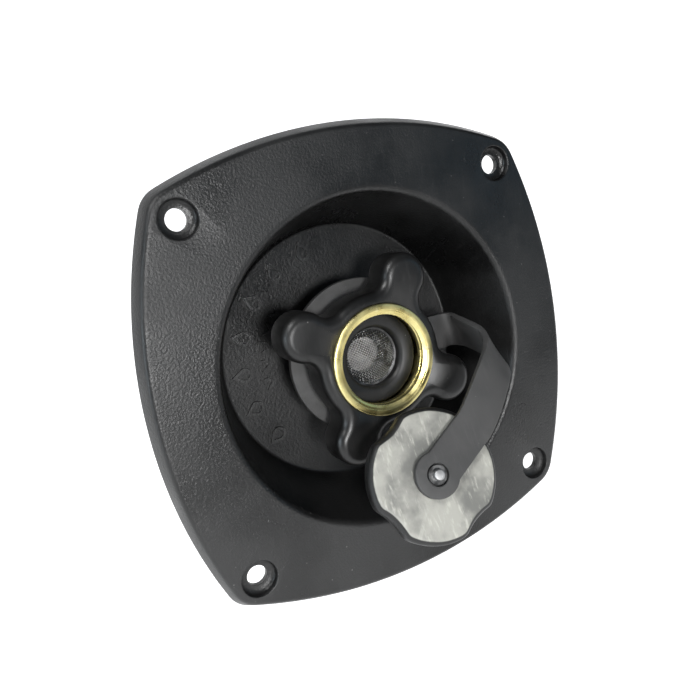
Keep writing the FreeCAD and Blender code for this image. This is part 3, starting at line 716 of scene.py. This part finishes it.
def brassThread():
    s = brassSizes
    angles = evenAngles(s["points"])
    rings = [circle(r, y, angles) for r, y in (
        (s["outerR"], s["end"]), (s["outerR"], s["front"] + 0.3), (15.15, s["front"] + 0.08), (14.95, s["front"]),
        (13.75, s["front"]), (13.6, s["front"] + 0.05), (13.4, s["front"] + 0.25))]
    for row in range(s["rows"] + 1):
        share = row / s["rows"]
        y = s["threadFrom"] + (s["threadTo"] - s["threadFrom"]) * share
        fade = min(1.0, share / 0.08, (1 - share) / 0.06)
        ring = []
        for a in angles:
            turn = (y / s["pitch"] + a / (2 * math.pi)) % 1.0
            groove = max(0.0, 1 - abs(turn - 0.5) / s["grooveShare"])
            r = s["rootR"] - (s["rootR"] - s["crestR"]) * (1 - groove) * fade
            ring.append((r * math.cos(a), y, r * math.sin(a)))
        rings.append(ring)
    rings += [circle(13.6, -0.6, angles), circle(13.6, 1.0, angles), circle(13.6, s["end"], angles)]
    return meshFrom("brassThread", *bridge(rings, closed=True), sharp=50)


finish(brassThread(), look["brass"], "knob", ["brass_insert"])
print("knob and brass done")


# hose washer, strainer and neck

washerProfile = [(9.2, 1.0), (12.3, 1.0), (12.65, 1.1), (12.85, 1.35), (12.9, 1.6), (12.9, 4.2), (9.7, 4.2),
                 (9.7, 3.6), (8.2, 3.6), (8.2, 2.1), (8.35, 1.75), (8.8, 1.3)]
finish(turned("hoseWasher", washerProfile, sharp=50), look["washerRubber"], "fixed",
       ["hose_washer"])
rimProfile = [(7.4, 3.7), (7.6, 3.6), (9.65, 3.6), (9.65, 4.2), (7.4, 4.2)]
# the strainer rim's dark steel colour is painted shade of the inlet
finish(turned("strainerRim", rimProfile), look["darkSteel"], "fixed", ["strainer_rim"])


strainerSizes = {"baseR": 7.7, "rise": 2.2, "baseY": 3.6, "wires": 27, "wireR": 0.085, "weave": 0.09}


def makeWovenDome():
    # straight waved wires, laid both ways and bent to a dome that stands towards -Y
    tree, given, put = geometryTree("wovenDome", [
        ("Wires", "NodeSocketInt", 27), ("Base Radius", "NodeSocketFloat", 0.0077),
        ("Rise", "NodeSocketFloat", 0.0022), ("Wire Radius", "NodeSocketFloat", 0.0001),
        ("Weave", "NodeSocketFloat", 0.0001),
        ("Base Y", "NodeSocketFloat", 0.0036), ("Finish", "NodeSocketMaterial", None)])
    join = addNode(tree, "GeometryNodeJoinGeometry")

    def asValue(operation, a, b=None):
        return mathNode(tree, operation, a, b)

    pitch = asValue("DIVIDE", asValue("MULTIPLY", given.outputs["Base Radius"], 2.0),
                    asValue("SUBTRACT", given.outputs["Wires"], 1.0))
    for way in (0, 1):
        row = addNode(tree, "GeometryNodeMeshGrid")
        row.inputs["Vertices X"].default_value = 150
        tree.links.new(asValue("MULTIPLY", given.outputs["Base Radius"], 2.0), row.inputs["Size X"])
        tree.links.new(asValue("MULTIPLY", given.outputs["Base Radius"], 2.0), row.inputs["Size Y"])
        tree.links.new(given.outputs["Wires"], row.inputs["Vertices Y"])
        place = addNode(tree, "GeometryNodeInputPosition")
        parts = addNode(tree, "ShaderNodeSeparateXYZ")
        tree.links.new(place.outputs["Position"], parts.inputs["Vector"])
        # drop the edges that run across, so that only the long wires stay
        ends = addNode(tree, "GeometryNodeInputMeshEdgeVertices")
        gap = addNode(tree, "ShaderNodeVectorMath", operation="SUBTRACT")
        tree.links.new(ends.outputs["Position 1"], gap.inputs[0])
        tree.links.new(ends.outputs["Position 2"], gap.inputs[1])
        gapParts = addNode(tree, "ShaderNodeSeparateXYZ")
        tree.links.new(gap.outputs["Vector"], gapParts.inputs["Vector"])
        across = asValue("GREATER_THAN", asValue("ABSOLUTE", gapParts.outputs["Y"]), 1e-6)
        dropFaces = addNode(tree, "GeometryNodeDeleteGeometry", domain="FACE", mode="ONLY_FACE")
        tree.links.new(row.outputs["Mesh"], dropFaces.inputs["Geometry"])
        dropAcross = addNode(tree, "GeometryNodeDeleteGeometry", domain="EDGE", mode="EDGE_FACE")
        tree.links.new(dropFaces.outputs["Geometry"], dropAcross.inputs["Geometry"])
        tree.links.new(across, dropAcross.inputs["Selection"])
        reach = asValue("SQRT", asValue("ADD", asValue("MULTIPLY", parts.outputs["X"], parts.outputs["X"]),
                                        asValue("MULTIPLY", parts.outputs["Y"], parts.outputs["Y"])))
        outside = asValue("GREATER_THAN", reach, given.outputs["Base Radius"])
        trim = addNode(tree, "GeometryNodeDeleteGeometry", domain="POINT", mode="ALL")
        tree.links.new(dropAcross.outputs["Geometry"], trim.inputs["Geometry"])
        tree.links.new(outside, trim.inputs["Selection"])
        # over and under, by turns
        lane = asValue("ROUND", asValue("DIVIDE", parts.outputs["Y"], pitch))
        phase = asValue("MULTIPLY", asValue("ADD", asValue("DIVIDE", parts.outputs["X"], pitch), lane), math.pi)
        wave = asValue("MULTIPLY", asValue("COSINE", phase), given.outputs["Weave"])
        if way:
            wave = asValue("MULTIPLY", wave, -1.0)
        share = asValue("DIVIDE", reach, given.outputs["Base Radius"])
        fall = asValue("SUBTRACT", 1.0, asValue("MULTIPLY", share, share))
        high = asValue("MULTIPLY", fall, given.outputs["Rise"])
        depth = asValue("SUBTRACT", asValue("SUBTRACT", given.outputs["Base Y"], high), wave)
        shaped = addNode(tree, "ShaderNodeCombineXYZ")
        tree.links.new(parts.outputs["Y" if way else "X"], shaped.inputs["X"])
        tree.links.new(depth, shaped.inputs["Y"])
        tree.links.new(parts.outputs["X" if way else "Y"], shaped.inputs["Z"])
        setPlace = addNode(tree, "GeometryNodeSetPosition")
        tree.links.new(trim.outputs["Geometry"], setPlace.inputs["Geometry"])
        tree.links.new(shaped.outputs["Vector"], setPlace.inputs["Position"])
        curve = addNode(tree, "GeometryNodeMeshToCurve")
        tree.links.new(setPlace.outputs["Geometry"], curve.inputs["Mesh"])
        section = addNode(tree, "GeometryNodeCurvePrimitiveCircle")
        section.inputs["Resolution"].default_value = 5
        tree.links.new(given.outputs["Wire Radius"], section.inputs["Radius"])
        wire = addNode(tree, "GeometryNodeCurveToMesh")
        wire.inputs["Fill Caps"].default_value = True
        tree.links.new(curve.outputs["Curve"], wire.inputs["Curve"])
        tree.links.new(section.outputs["Curve"], wire.inputs["Profile Curve"])
        tree.links.new(wire.outputs["Mesh"], join.inputs["Geometry"])
    turn = addNode(tree, "GeometryNodeTransform")
    turn.inputs["Rotation"].default_value = (0.0, math.radians(38), 0.0)
    tree.links.new(join.outputs["Geometry"], turn.inputs["Geometry"])
    whole = addNode(tree, "GeometryNodeRealizeInstances")
    tree.links.new(turn.outputs["Geometry"], whole.inputs["Geometry"])
    coat = addNode(tree, "GeometryNodeSetMaterial")
    tree.links.new(whole.outputs["Geometry"], coat.inputs["Geometry"])
    tree.links.new(given.outputs["Finish"], coat.inputs["Material"])
    tree.links.new(coat.outputs["Geometry"], put.inputs["Geometry"])
    return tree


def strainerMesh():
    s = strainerSizes
    piece = bpy.data.objects.new("strainerMesh", bpy.data.meshes.new("strainerMesh"))
    bpy.context.scene.collection.objects.link(piece)
    modifier = piece.modifiers.new("wovenDome", "NODES")
    modifier.node_group = makeWovenDome()
    setInputs(modifier, {"Wires": s["wires"], "Base Radius": s["baseR"] * millimetre,
                         "Rise": s["rise"] * millimetre, "Wire Radius": s["wireR"] * millimetre,
                         "Weave": s["weave"] * millimetre,
                         "Base Y": s["baseY"] * millimetre, "Finish": look["meshSteel"]})
    bake(piece)
    return smoothAgain(piece, 80)


strainer = finish(strainerMesh(), look["meshSteel"], "fixed", ["strainer_mesh"])
print("strainer:", len(strainer.data.polygons), "faces")

neckProfile = [(7.0, 4.2), (12.4, 4.2), (12.6, 4.4), (12.6, 5.9), (12.4, 6.1), (10.0, 6.1), (10.0, 10.7),
               (14.5, 10.7), (14.85, 10.8), (15.0, 11.1), (16.8, 20.0), (10.0, 20.0), (10.0, 34.0),
               (4.5, 34.0), (4.5, 36.0), (3.0, 36.0), (3.0, 32.0), (8.0, 32.0), (8.0, 8.0), (7.0, 8.0)]
finish(turned("inletNeck", neckProfile), look["neckPlastic"], "fixed", ["inlet_neck"])


# plug, built about its own axis and then laid on its tilted place

plugSizes = {"face": (-0.06, -28.7, 17.0), "normal": (-0.115, 0.35, 0.93), "gripR": 17.7, "thick": 4.5,
             "round": 1.8, "scallopR": 15.8, "scallopAt": 32.0, "scallopAngle": 30.0, "soft": 0.5,
             "spigotLength": 6.4, "rootR": 12.15, "crest": 1.2, "pitch": 2.209, "rows": 60,
             "studR": 1.45, "studTop": 3.4, "points": 384}


def plugAxes():
    x, up, height = plugSizes["face"]
    nx, nup, nout = plugSizes["normal"]
    out = Vector((nx, -nout, nup)).normalized()
    across = Vector((0, 0, 1)).cross(out).normalized()
    return Vector((x, faceAt(height), up)), across, out.cross(across), out


def onPlug(points):
    origin, across, up, out = plugAxes()
    return [tuple(origin + across * x + up * y + out * z) for x, y, z in points]


def plugRing(r, z, angles):
    return [(r * math.cos(a), r * math.sin(a), z) for a in angles]


def gripOutline(inset, z, angles):
    # a round edge with four finger scallops, their corners softened
    s = plugSizes
    ring = []
    for a in angles:
        off = (a - math.radians(s["scallopAngle"]) + math.pi / 4) % (math.pi / 2) - math.pi / 4
        along = s["scallopAt"] * math.cos(off)
        inner = along * along - s["scallopAt"] ** 2 + s["scallopR"] ** 2
        bite = along - math.sqrt(inner) if inner > 0 else s["gripR"] + 4
        bite = min(bite, s["gripR"] + 3)
        gap = bite - s["gripR"]
        r = s["gripR"] + 0.5 * (gap - math.sqrt(gap * gap + s["soft"] ** 2)) - inset
        ring.append((r * math.cos(a), r * math.sin(a), z))
    return ring


def plugCap():
    s = plugSizes
    angles = evenAngles(s["points"])
    root = -s["thick"]
    end = root - s["spigotLength"]
    first = root - 1.5
    rings = [plugRing(3.2, 0.0, angles), plugRing(9.0, 0.0, angles), gripOutline(s["round"] + 0.6, 0.0, angles)]
    for step in range(9):
        a = math.radians(90 * step / 8)
        rings.append(gripOutline(s["round"] * (1 - math.sin(a)), -s["round"] * (1 - math.cos(a)), angles))
    rings += [gripOutline(0.0, root + 0.4, angles), gripOutline(0.12, root + 0.12, angles),
              gripOutline(0.4, root, angles), plugRing(s["rootR"], root, angles)]
    for row in range(s["rows"] + 1):
        z = first + (end + 0.1 - first) * row / s["rows"]
        fade = min(1.0, row / 4, (s["rows"] - row) / 5)
        ring = []
        for a in angles:
            turn = (z / s["pitch"] - a / (2 * math.pi)) % 1.0
            flank = min(1.0, max(0.0, 0.5 + 1.9 * (abs(turn - 0.5) * 2 - 0.5)))
            r = s["rootR"] + s["crest"] * flank * flank * (3 - 2 * flank) * fade
            ring.append((r * math.cos(a), r * math.sin(a), z))
        rings.append(ring)
    rings += [plugRing(r, z, angles) for r, z in (
        (12.0, end), (10.75, end), (10.6, end + 0.15), (10.6, root - 0.2), (10.3, root), (2.0, root))]
    points, faces = bridge(rings, capFirst=True, capLast=True)
    return meshFrom("plugCap", onPlug(points), faces, sharp=45)


def plugTurned(name, profile, count=96):
    angles = evenAngles(count)
    rings = [plugRing(r, z, angles) for r, z in profile]
    points, faces = bridge(rings, closed=True)
    return meshFrom(name, onPlug(points), faces)


finish(plugCap(), look["plug"], "plug", ["plug_cap"])
washerZ = -plugSizes["thick"]
plugWasherProfile = [(12.3, washerZ - 1.5), (14.8, washerZ - 1.5), (15.0, washerZ - 1.3), (15.0, washerZ),
                     (12.3, washerZ)]
finish(plugTurned("plugWasher", plugWasherProfile, 160), look["blackRubber"], "plug",
       ["plug_washer"])


def plugStud():
    s = plugSizes
    top = s["studTop"]
    angles = evenAngles(64)
    profile = [(s["studR"], -0.3), (s["studR"], top - 0.4)]
    profile += [(s["studR"] - 0.4 + 0.4 * math.cos(math.radians(b)), top - 0.4 + 0.4 * math.sin(math.radians(b)))
                for b in (22, 45, 68, 90)]
    rings = [plugRing(r, z, angles) for r, z in profile]
    points, faces = bridge(rings, capFirst=True, capLast=True)
    return meshFrom("plugStud", onPlug(points), faces)


finish(plugStud(), look["studSteel"], "plug", ["plug_stud"])
finish(plugTurned("studWasher", [(1.47, 1.4), (2.5, 1.4), (2.6, 1.5), (2.6, 1.8), (2.5, 1.9), (1.47, 1.9)]),
       look["darkSteel"], "plug", ["stud_washer"])
print("plug done")


# tether strap: drawn flat, then bent along its path

strapSizes = {"thick": 1.8, "half": 5.3, "ringR": 22.0, "boreR": 10.3, "midHeight": -13.5, "fillet": 4.0,
              "eyeletR": 6.1, "eyeletLift": 0.35, "flatEnd": 13.0, "start": 27.0, "shift": -0.1,
              "edge": 0.3, "studGap": 1.75, "sinkR": 2.95, "sinkDepth": 1.0}


def eased(rows):
    # twice as many rows on a smoother curve, with the two ends kept
    finer = [rows[0]]
    for i in range(1, len(rows)):
        before, here = rows[i - 1], rows[i]
        finer.append([(a + b) / 2 for a, b in zip(before, here)])
        if i < len(rows) - 1:
            finer.append([a / 8 + b * 3 / 4 + c / 8 for a, b, c in zip(before, here, rows[i + 1])])
    finer.append(rows[-1])
    return finer


def bentStrap():
    # the same run as the solid strap takes: reach, centre, run, across and thick directions
    s = strapSizes
    origin, across, up, out = plugAxes()
    leave = (across * 0.835 + up * 0.55).normalized()
    end = origin + out * (s["eyeletLift"] + s["thick"] / 2) + leave * s["flatEnd"]
    lean = Vector((math.cos(math.radians(20)), 0, math.sin(math.radians(20))))
    outwards = Vector((0, -1, 0))

    def front(x, height, rise):
        return Vector((x, faceAt(rise), height))

    bends = [
        (front(s["start"], s["shift"], s["midHeight"]), outwards),
        (front(29.0, -0.1, s["midHeight"]), outwards),
        (front(32.0, -0.3, -13.2), outwards * 0.6 - lean * 0.8),
        (front(33.1, -1.1, -9.4), lean * -1),
        (front(33.0, -2.2, -3.8), lean * -1),
        (front(32.9, -3.6, 2.6), lean * -1),
        (front(30.9, -5.8, 9.3), out * -0.6 - lean * 0.8),
        (front(25.1, -8.9, 13.8), out * -0.95 - lean * 0.3),
        (end + leave * 5.5 + out * 0.25, out * -1),
        (end + leave * 2.0, out * -1),
        (end, out * -1)]
    table = [[*spot, *side] for spot, side in bends]
    for again in range(4):
        table = eased(table)
    rows = []
    reach = 0.0
    for i, row in enumerate(table):
        spot = Vector(row[:3])
        if i == 0:
            run = Vector((1, 0, 0))
        elif i == len(table) - 1:
            run = -leave
        else:
            run = (Vector(table[i + 1][:3]) - Vector(table[i - 1][:3])).normalized()
        if i > 0:
            reach += (spot - rows[-1][1]).length
        wide = Vector(row[3:]).cross(run).normalized()
        rows.append((reach, spot, run, wide, run.cross(wide)))
    return rows


def strapFlat():
    s = strapSizes
    rows = bentStrap()
    bendLength = rows[-1][0]
    eyeU = s["start"] + bendLength + s["flatEnd"]
    reaches = [row[0] for row in rows]

    def place(u, v, t):
        # flat drawing to its place in the air; t is towards the outside of the strap
        if u <= s["start"]:
            return (u, faceAt(s["midHeight"]) - t, v + s["shift"])
        far = u - s["start"]
        if far >= bendLength:
            _, spot, run, wide, thick = rows[-1]
            spot = spot + run * (far - bendLength)
        else:
            low = 0
            high = len(reaches) - 1
            while high - low > 1:
                mid = (low + high) // 2
                if reaches[mid] <= far:
                    low = mid
                else:
                    high = mid
            share = (far - reaches[low]) / max(1e-9, reaches[high] - reaches[low])
            spot = rows[low][1].lerp(rows[high][1], share)
            wide = rows[low][3].lerp(rows[high][3], share).normalized()
            thick = rows[low][4].lerp(rows[high][4], share).normalized()
        return tuple(spot + wide * v + thick * t)

    # outline as points with outward directions
    fillet, half = s["fillet"], s["half"]
    fu = math.sqrt((s["ringR"] + fillet) ** 2 - (half + fillet) ** 2)
    base = math.atan2(half + fillet, fu)
    outline = []
    for i in range(97):
        a = base + (2 * math.pi - 2 * base) * i / 96
        outline.append((s["ringR"] * math.cos(a), s["ringR"] * math.sin(a), math.cos(a), math.sin(a)))
    for i in range(1, 9):
        a = math.pi - base - (math.pi / 2 - base) * i / 8
        nu, nv = math.cos(a), math.sin(a)
        outline.append((fu + fillet * nu, -half - fillet + fillet * nv, -nu, -nv))
    du = math.sqrt(s["eyeletR"] ** 2 - half ** 2)
    runs = int((eyeU - du - fu) / 0.9)
    for i in range(1, runs):
        outline.append((fu + (eyeU - du - fu) * i / runs, -half, 0.0, -1.0))
    turn = math.atan2(half, -du)
    for i in range(49):
        a = -turn + 2 * turn * i / 48
        nu, nv = math.cos(a), math.sin(a)
        outline.append((eyeU + s["eyeletR"] * nu, s["eyeletR"] * nv, nu, nv))
    for i in range(1, runs):
        outline.append((eyeU - du - (eyeU - du - fu) * i / runs, half, 0.0, 1.0))
    for i in range(8):
        a = math.pi / 2 + (math.pi / 2 - base) * i / 8
        nu, nv = math.cos(a), -math.sin(a)
        outline.append((fu + fillet * nu, half + fillet + fillet * nv, -nu, -nv))

    points = []
    faces = []

    def holeRing(cu, radius, t, steps):
        start = len(points)
        for i in range(steps):
            a = 2 * math.pi * i / steps
            points.append((cu + radius * math.cos(a), radius * math.sin(a), t))
        return list(range(start, start + steps))

    def edgeRing(inset, t):
        start = len(points)
        for u, v, nu, nv in outline:
            points.append((u - nu * inset, v - nv * inset, t))
        return list(range(start, start + len(outline)))

    def joinRings(a, b):
        for k in range(len(a)):
            n = (k + 1) % len(a)
            faces.append((a[k], a[n], b[n], b[k]))

    def fillFace(rings, t, holes):
        flat = [Vector(points[i][:2]) for ring in rings for i in ring]
        index = [i for ring in rings for i in ring]
        edges = []
        start = 0
        for ring in rings:
            edges += [(start + k, start + (k + 1) % len(ring)) for k in range(len(ring))]
            start += len(ring)
        inner = []
        u = s["start"] - 2
        while u < eyeU - 7:
            for v in (-3.4, -1.2, 1.2, 3.4):
                inner.append((u, v))
            u += 0.9
        allFlat = flat + [Vector(p) for p in inner]
        verts, _, tris, _, _, _ = delaunay_2d_cdt(allFlat, edges, [], 1, 1e-6)
        lookup = []
        for i, v in enumerate(verts):
            if i < len(index):
                lookup.append(index[i])
            else:
                lookup.append(len(points))
                points.append((v.x, v.y, t))
        for tri in tris:
            cu = sum(verts[i].x for i in tri) / 3
            cv = sum(verts[i].y for i in tri) / 3
            if all(math.hypot(cu - hu, cv) > hr for hu, hr in holes):
                faces.append(tuple(lookup[i] for i in tri))

    top = s["thick"] / 2
    e = s["edge"]
    # the knob side of the ring becomes the outer face of the eyelet
    outerT, innerT = -top, top
    loops = []
    for a in (90, 60, 30, 0):
        b = math.radians(a)
        loops.append(edgeRing(e * (1 - math.cos(b)), outerT + e * (1 - math.sin(b))))
    for a in (0, 30, 60, 90):
        b = math.radians(a)
        loops.append(edgeRing(e * (1 - math.cos(b)), innerT - e * (1 - math.sin(b))))
    for k in range(len(loops) - 1):
        joinRings(loops[k], loops[k + 1])
    boreA = holeRing(0.0, s["boreR"], outerT, 96)
    boreB = holeRing(0.0, s["boreR"], innerT, 96)
    joinRings(boreA, boreB)
    sinkA = holeRing(eyeU, s["sinkR"] + 0.15, outerT, 48)
    sinkB = holeRing(eyeU, s["sinkR"], outerT + 0.15, 48)
    sinkC = holeRing(eyeU, s["sinkR"], outerT + s["sinkDepth"], 48)
    sinkD = holeRing(eyeU, s["studGap"], outerT + s["sinkDepth"], 48)
    sinkE = holeRing(eyeU, s["studGap"], innerT, 48)
    for a, b in ((sinkA, sinkB), (sinkB, sinkC), (sinkC, sinkD), (sinkD, sinkE)):
        joinRings(a, b)
    fillFace([loops[0], boreA, sinkA], outerT, [(0.0, s["boreR"]), (eyeU, s["sinkR"] + 0.1)])
    fillFace([loops[-1], boreB, sinkE], innerT, [(0.0, s["boreR"]), (eyeU, s["studGap"] - 0.05)])
    return [place(*p) for p in points], faces


finish(meshFrom("tetherStrap", *strapFlat(), sharp=40), look["strap"], "strap", ["tether_strap"])
print("strap done")


# behind the wall

regulatorSizes = {"outletR": 10.6, "threadDepth": 0.9, "threadPitch": 1.814, "threadRows": 110,
                  "threadFrom": 63.4, "threadLength": 11.6, "hexCorner": 14.5, "screwRing": 28.4}

bodyProfile = [(10.0, 31.3), (23.2, 31.3), (24.4, 31.6), (25.4, 32.3), (26.0, 33.5), (26.0, 44.6), (26.4, 45.0),
               (30.7, 45.0), (31.0, 45.3), (31.0, 49.8), (30.8, 50.0), (26.0, 50.0), (26.0, 48.5), (24.0, 48.5),
               (24.0, 50.0), (23.0, 50.0), (23.0, 35.3), (10.5, 35.3), (10.5, 47.5), (8.3, 47.5), (8.3, 34.0),
               (10.0, 34.0)]
finish(turned("regulatorBody", bodyProfile), look["regulatorPlastic"], "fixed",
       ["regulator_body"])


ribCorners = [(25.6, 35.5), (26.2, 35.5), (30.0, 43.0), (30.0, 45.1), (25.6, 45.1)]
ribs = repeated("bodyRibs", ribShape("ribPattern", ribCorners), 6, 0, 60, look["regulatorPlastic"])
finish(ribs, look["regulatorPlastic"], "fixed")


def outletThread(angles):
    # pipe thread on the outlet, cut below the outside size
    s = regulatorSizes
    rings = []
    for row in range(s["threadRows"] + 1):
        y = s["threadFrom"] + s["threadLength"] * row / s["threadRows"]
        fade = min(1.0, row / 8, (s["threadRows"] - row) / 6)
        ring = []
        for a in angles:
            turn = (y / s["threadPitch"] + a / (2 * math.pi)) % 1.0
            cutIn = 1 - abs(turn - 0.5) * 2
            r = s["outletR"] - s["threadDepth"] * cutIn * fade
            ring.append((r * math.cos(a), y, r * math.sin(a)))
        rings.append(ring)
    return rings


def regulatorCover():
    angles = evenAngles(192)
    profile = [(23.0, 50.0), (30.8, 50.0), (31.0, 50.2), (31.0, 53.2), (30.7, 53.5), (25.5, 53.5), (25.2, 53.8),
               (25.2, 55.6), (24.9, 56.4), (24.2, 57.3), (22.6, 59.3), (22.0, 59.8), (21.0, 60.0),
               (10.9, 60.0), (10.6, 60.3)]
    rings = [circle(r, y, angles) for r, y in profile]
    rings += outletThread(angles)
    rings += [circle(r, y, angles) for r, y in (
        (9.6, 75.4), (9.0, 76.0), (6.8, 76.0), (6.5, 75.7), (6.5, 56.5), (22.0, 56.5), (23.0, 55.5))]
    return meshFrom("regulatorCover", *bridge(rings, closed=True))


def outletHexagon():
    # six flats for a spanner, with turned corners
    corner = regulatorSizes["hexCorner"]
    angles = evenAngles(192)
    rings = []
    for y, limit in ((58.9, corner), (59.0, corner), (62.1, corner), (62.6, 14.1), (63.0, 13.4)):
        ring = []
        for a in angles:
            off = (a + math.pi / 6) % (math.pi / 3) - math.pi / 6
            flat = corner * math.cos(math.pi / 6) / math.cos(math.pi / 6 - abs(off))
            r = min(flat, limit)
            ring.append((r * math.cos(a), y, r * math.sin(a)))
        rings.append(ring)
    rings += [circle(10.0, 63.0, angles), circle(10.0, 58.9, angles)]
    return meshFrom("outletHexagon", *bridge(rings, closed=True), sharp=28)


finish(regulatorCover(), look["regulatorPlastic"], "fixed", ["regulator_cover"])
finish(outletHexagon(), look["regulatorPlastic"], "fixed")


def screwPattern():
    # pan head with a crossed recess
    angles = evenAngles(48)
    profile = [(1.5, 47.0), (1.5, 53.5), (2.8, 53.5), (2.8, 54.6), (2.62, 55.15), (2.25, 55.5), (1.7, 55.66),
               (1.2, 55.7)]
    rings = [circle(r, y, angles) for r, y in profile]
    screw = meshFrom("screwPattern", *bridge(rings, capFirst=True, capLast=True))
    for w, d in ((1.6, 0.35), (0.35, 1.6)):
        corners = [(-w, -d), (w, -d), (w, d), (-w, d)]
        ends = [[(x, y, z) for x, z in corners] for y in (54.8, 57.0)]
        slots = meshFrom("slotPattern", *bridge(ends, capFirst=True, capLast=True))
        carve(screw, slots)
    screw.data.transform(Matrix.Translation((regulatorSizes["screwRing"] * millimetre, 0, 0)))
    return screw


screws = repeated("coverScrews", screwPattern(), 6, 30, 60, look["steel"])
finish(screws, look["steel"], "fixed", ["cover_screws"])
print("regulator done")

# inner and small pieces keep their solid shapes and take a finish
keptFinish = {"neck_gasket": "blackRubber", "lock_washer": "neckPlastic", "lock_nut": "neckPlastic",
              "valve_seat": "blackRubber", "valve_poppet": "whitePlastic", "poppet_o_ring": "blackRubber",
              "valve_cage": "whitePlastic", "regulator_piston": "whitePlastic",
              "seal_pad": "blackRubber", "stem_o_ring": "blackRubber", "head_o_ring": "blackRubber",
              "cover_o_ring": "blackRubber"}
for nodeName, key in keptFinish.items():
    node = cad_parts[nodeName]
    for slotIndex in range(len(node.material_slots)):
        node.material_slots[slotIndex].material = look[key]


# the two springs, which shorten towards their fixed ends as the poppet and the piston move, are copied into
# meshes of their own and take the steel finish
springs = [("valve_spring", "poppet_slide", 19.7, 0.60), ("regulator_spring", "piston_slide", 35.3, 0.915)]
for nodeName, joint, seat, keep in springs:
    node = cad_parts[nodeName]
    coil = bpy.data.objects.new(nodeName + "Coil", node.data.copy())
    coil.data.transform(node.matrix_world)
    bpy.context.scene.collection.objects.link(coil)
    finish(coil, look["steel"], "fixed", [nodeName])
    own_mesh(coil)
print("springs done")


# floor, light and camera

# the floor's glow and its darker front colour are painted light and painted shade
stageValues = {"floorZ": -0.064, "worldLight": 0.14, "worldColour": (0.82, 0.90, 1.0, 1.0), "glow": 0.9,
               "fade": (-0.16, -0.05), "shadedFloorFront": grey(0.50), "floorBehind": grey(0.86)}


def sweptBackdrop():
    # pale floor that curves up into a wall well behind the piece
    floorZ = stageValues["floorZ"]
    line = [(-2.5, floorZ), (0.9, floorZ)]
    for a in range(9, 91, 9):
        line.append((0.9 + 0.6 * math.sin(math.radians(a)), floorZ + 0.6 - 0.6 * math.cos(math.radians(a))))
    line += [(1.5, 3.2)]
    points = [(x, y, z) for y, z in line for x in (-3.0, 3.0)]
    faces = [(2 * i, 2 * i + 1, 2 * i + 3, 2 * i + 2) for i in range(len(line) - 1)]
    mesh = bpy.data.meshes.new("studioSweep")
    mesh.from_pydata(points, [], faces)
    mesh.shade_smooth()
    sweep = bpy.data.objects.new("studioSweep", mesh)
    bpy.context.scene.collection.objects.link(sweep)
    return sweep


def paleFloor():
    # painted light and shade: brighter and glowing from within behind the piece as if lit, darker grey in front
    # of it
    material = bpy.data.materials.new("paleFloor")
    material.use_nodes = True
    tree = material.node_tree
    shader = tree.nodes["Principled BSDF"]
    shader.inputs["Roughness"].default_value = 0.9
    shader.inputs["Specular IOR Level"].default_value = 0.1
    shader.inputs["Emission Color"].default_value = (1.0, 1.0, 1.0, 1.0)
    place = addNode(tree, "ShaderNodeTexCoord")
    parts = addNode(tree, "ShaderNodeSeparateXYZ")
    tree.links.new(place.outputs["Object"], parts.inputs["Vector"])
    # painted light and shade: glow and pale colour behind the piece, darker colour towards the front
    share = rampNode(tree, parts.outputs["Y"], *stageValues["fade"])
    glow = mathNode(tree, "MULTIPLY", share, stageValues["glow"])
    tree.links.new(glow, shader.inputs["Emission Strength"])
    colour = mixColour(tree, share, stageValues["shadedFloorFront"], stageValues["floorBehind"])
    tree.links.new(colour, shader.inputs["Base Color"])
    return material


studioSweep = sweptBackdrop()
studioSweep.data.materials.append(paleFloor())

world = bpy.data.worlds.new("paleStudio")
bpy.context.scene.world = world
world.use_nodes = True
background = world.node_tree.nodes["Background"]
background.inputs["Color"].default_value = stageValues["worldColour"]
background.inputs["Strength"].default_value = stageValues["worldLight"]


lights = {
    "keyLight": {"place": (-0.45, -0.40, 0.60), "aim": (0, 0, 0), "size": 0.30, "power": 3.6},
    "frontLight": {"place": (-0.12, -0.70, -0.01), "aim": (-0.03, 0, -0.02), "size": 0.20, "power": 4.4},
    "leftLight": {"place": (-0.80, -0.22, 0.05), "aim": (0, 0, 0), "size": 0.45, "power": 2.6,
                  "colour": (0.80, 0.92, 1.0)},
    "rightLight": {"place": (0.95, -0.85, 0.10), "aim": (0, 0, 0), "size": 0.6, "power": 0.6,
                   "colour": (0.45, 0.75, 1.0)},
}


def softLight(name, place, aim, size, power, colour=(1.0, 1.0, 1.0)):
    data = bpy.data.lights.new(name, "AREA")
    data.shape = "DISK"
    data.size = size
    data.energy = power
    data.color = colour
    lamp = bpy.data.objects.new(name, data)
    lamp.location = place
    lamp.rotation_euler = (Vector(aim) - Vector(place)).to_track_quat("-Z", "Y").to_euler()
    bpy.context.scene.collection.objects.link(lamp)


for lightName, values in lights.items():
    softLight(lightName, **values)

cameraValues = {"place": (-0.08446, -0.16474, 0.04365), "turn": (78.530, 10.205, -27.490), "lens": 35.493,
                "sensor": 36.0, "shift": (-0.0037, -0.0173), "nearest": 0.01}
cameraData = bpy.data.cameras.new("camera")
cameraData.sensor_width = cameraValues["sensor"]
cameraData.lens = cameraValues["lens"]
cameraData.shift_x, cameraData.shift_y = cameraValues["shift"]
cameraData.clip_start = cameraValues["nearest"]
camera = bpy.data.objects.new("camera", cameraData)
camera.location = cameraValues["place"]
camera.rotation_euler = [math.radians(a) for a in cameraValues["turn"]]
bpy.context.scene.collection.objects.link(camera)
bpy.context.scene.camera = camera
bpy.context.scene.view_settings.view_transform = "Standard"
print("stage set")
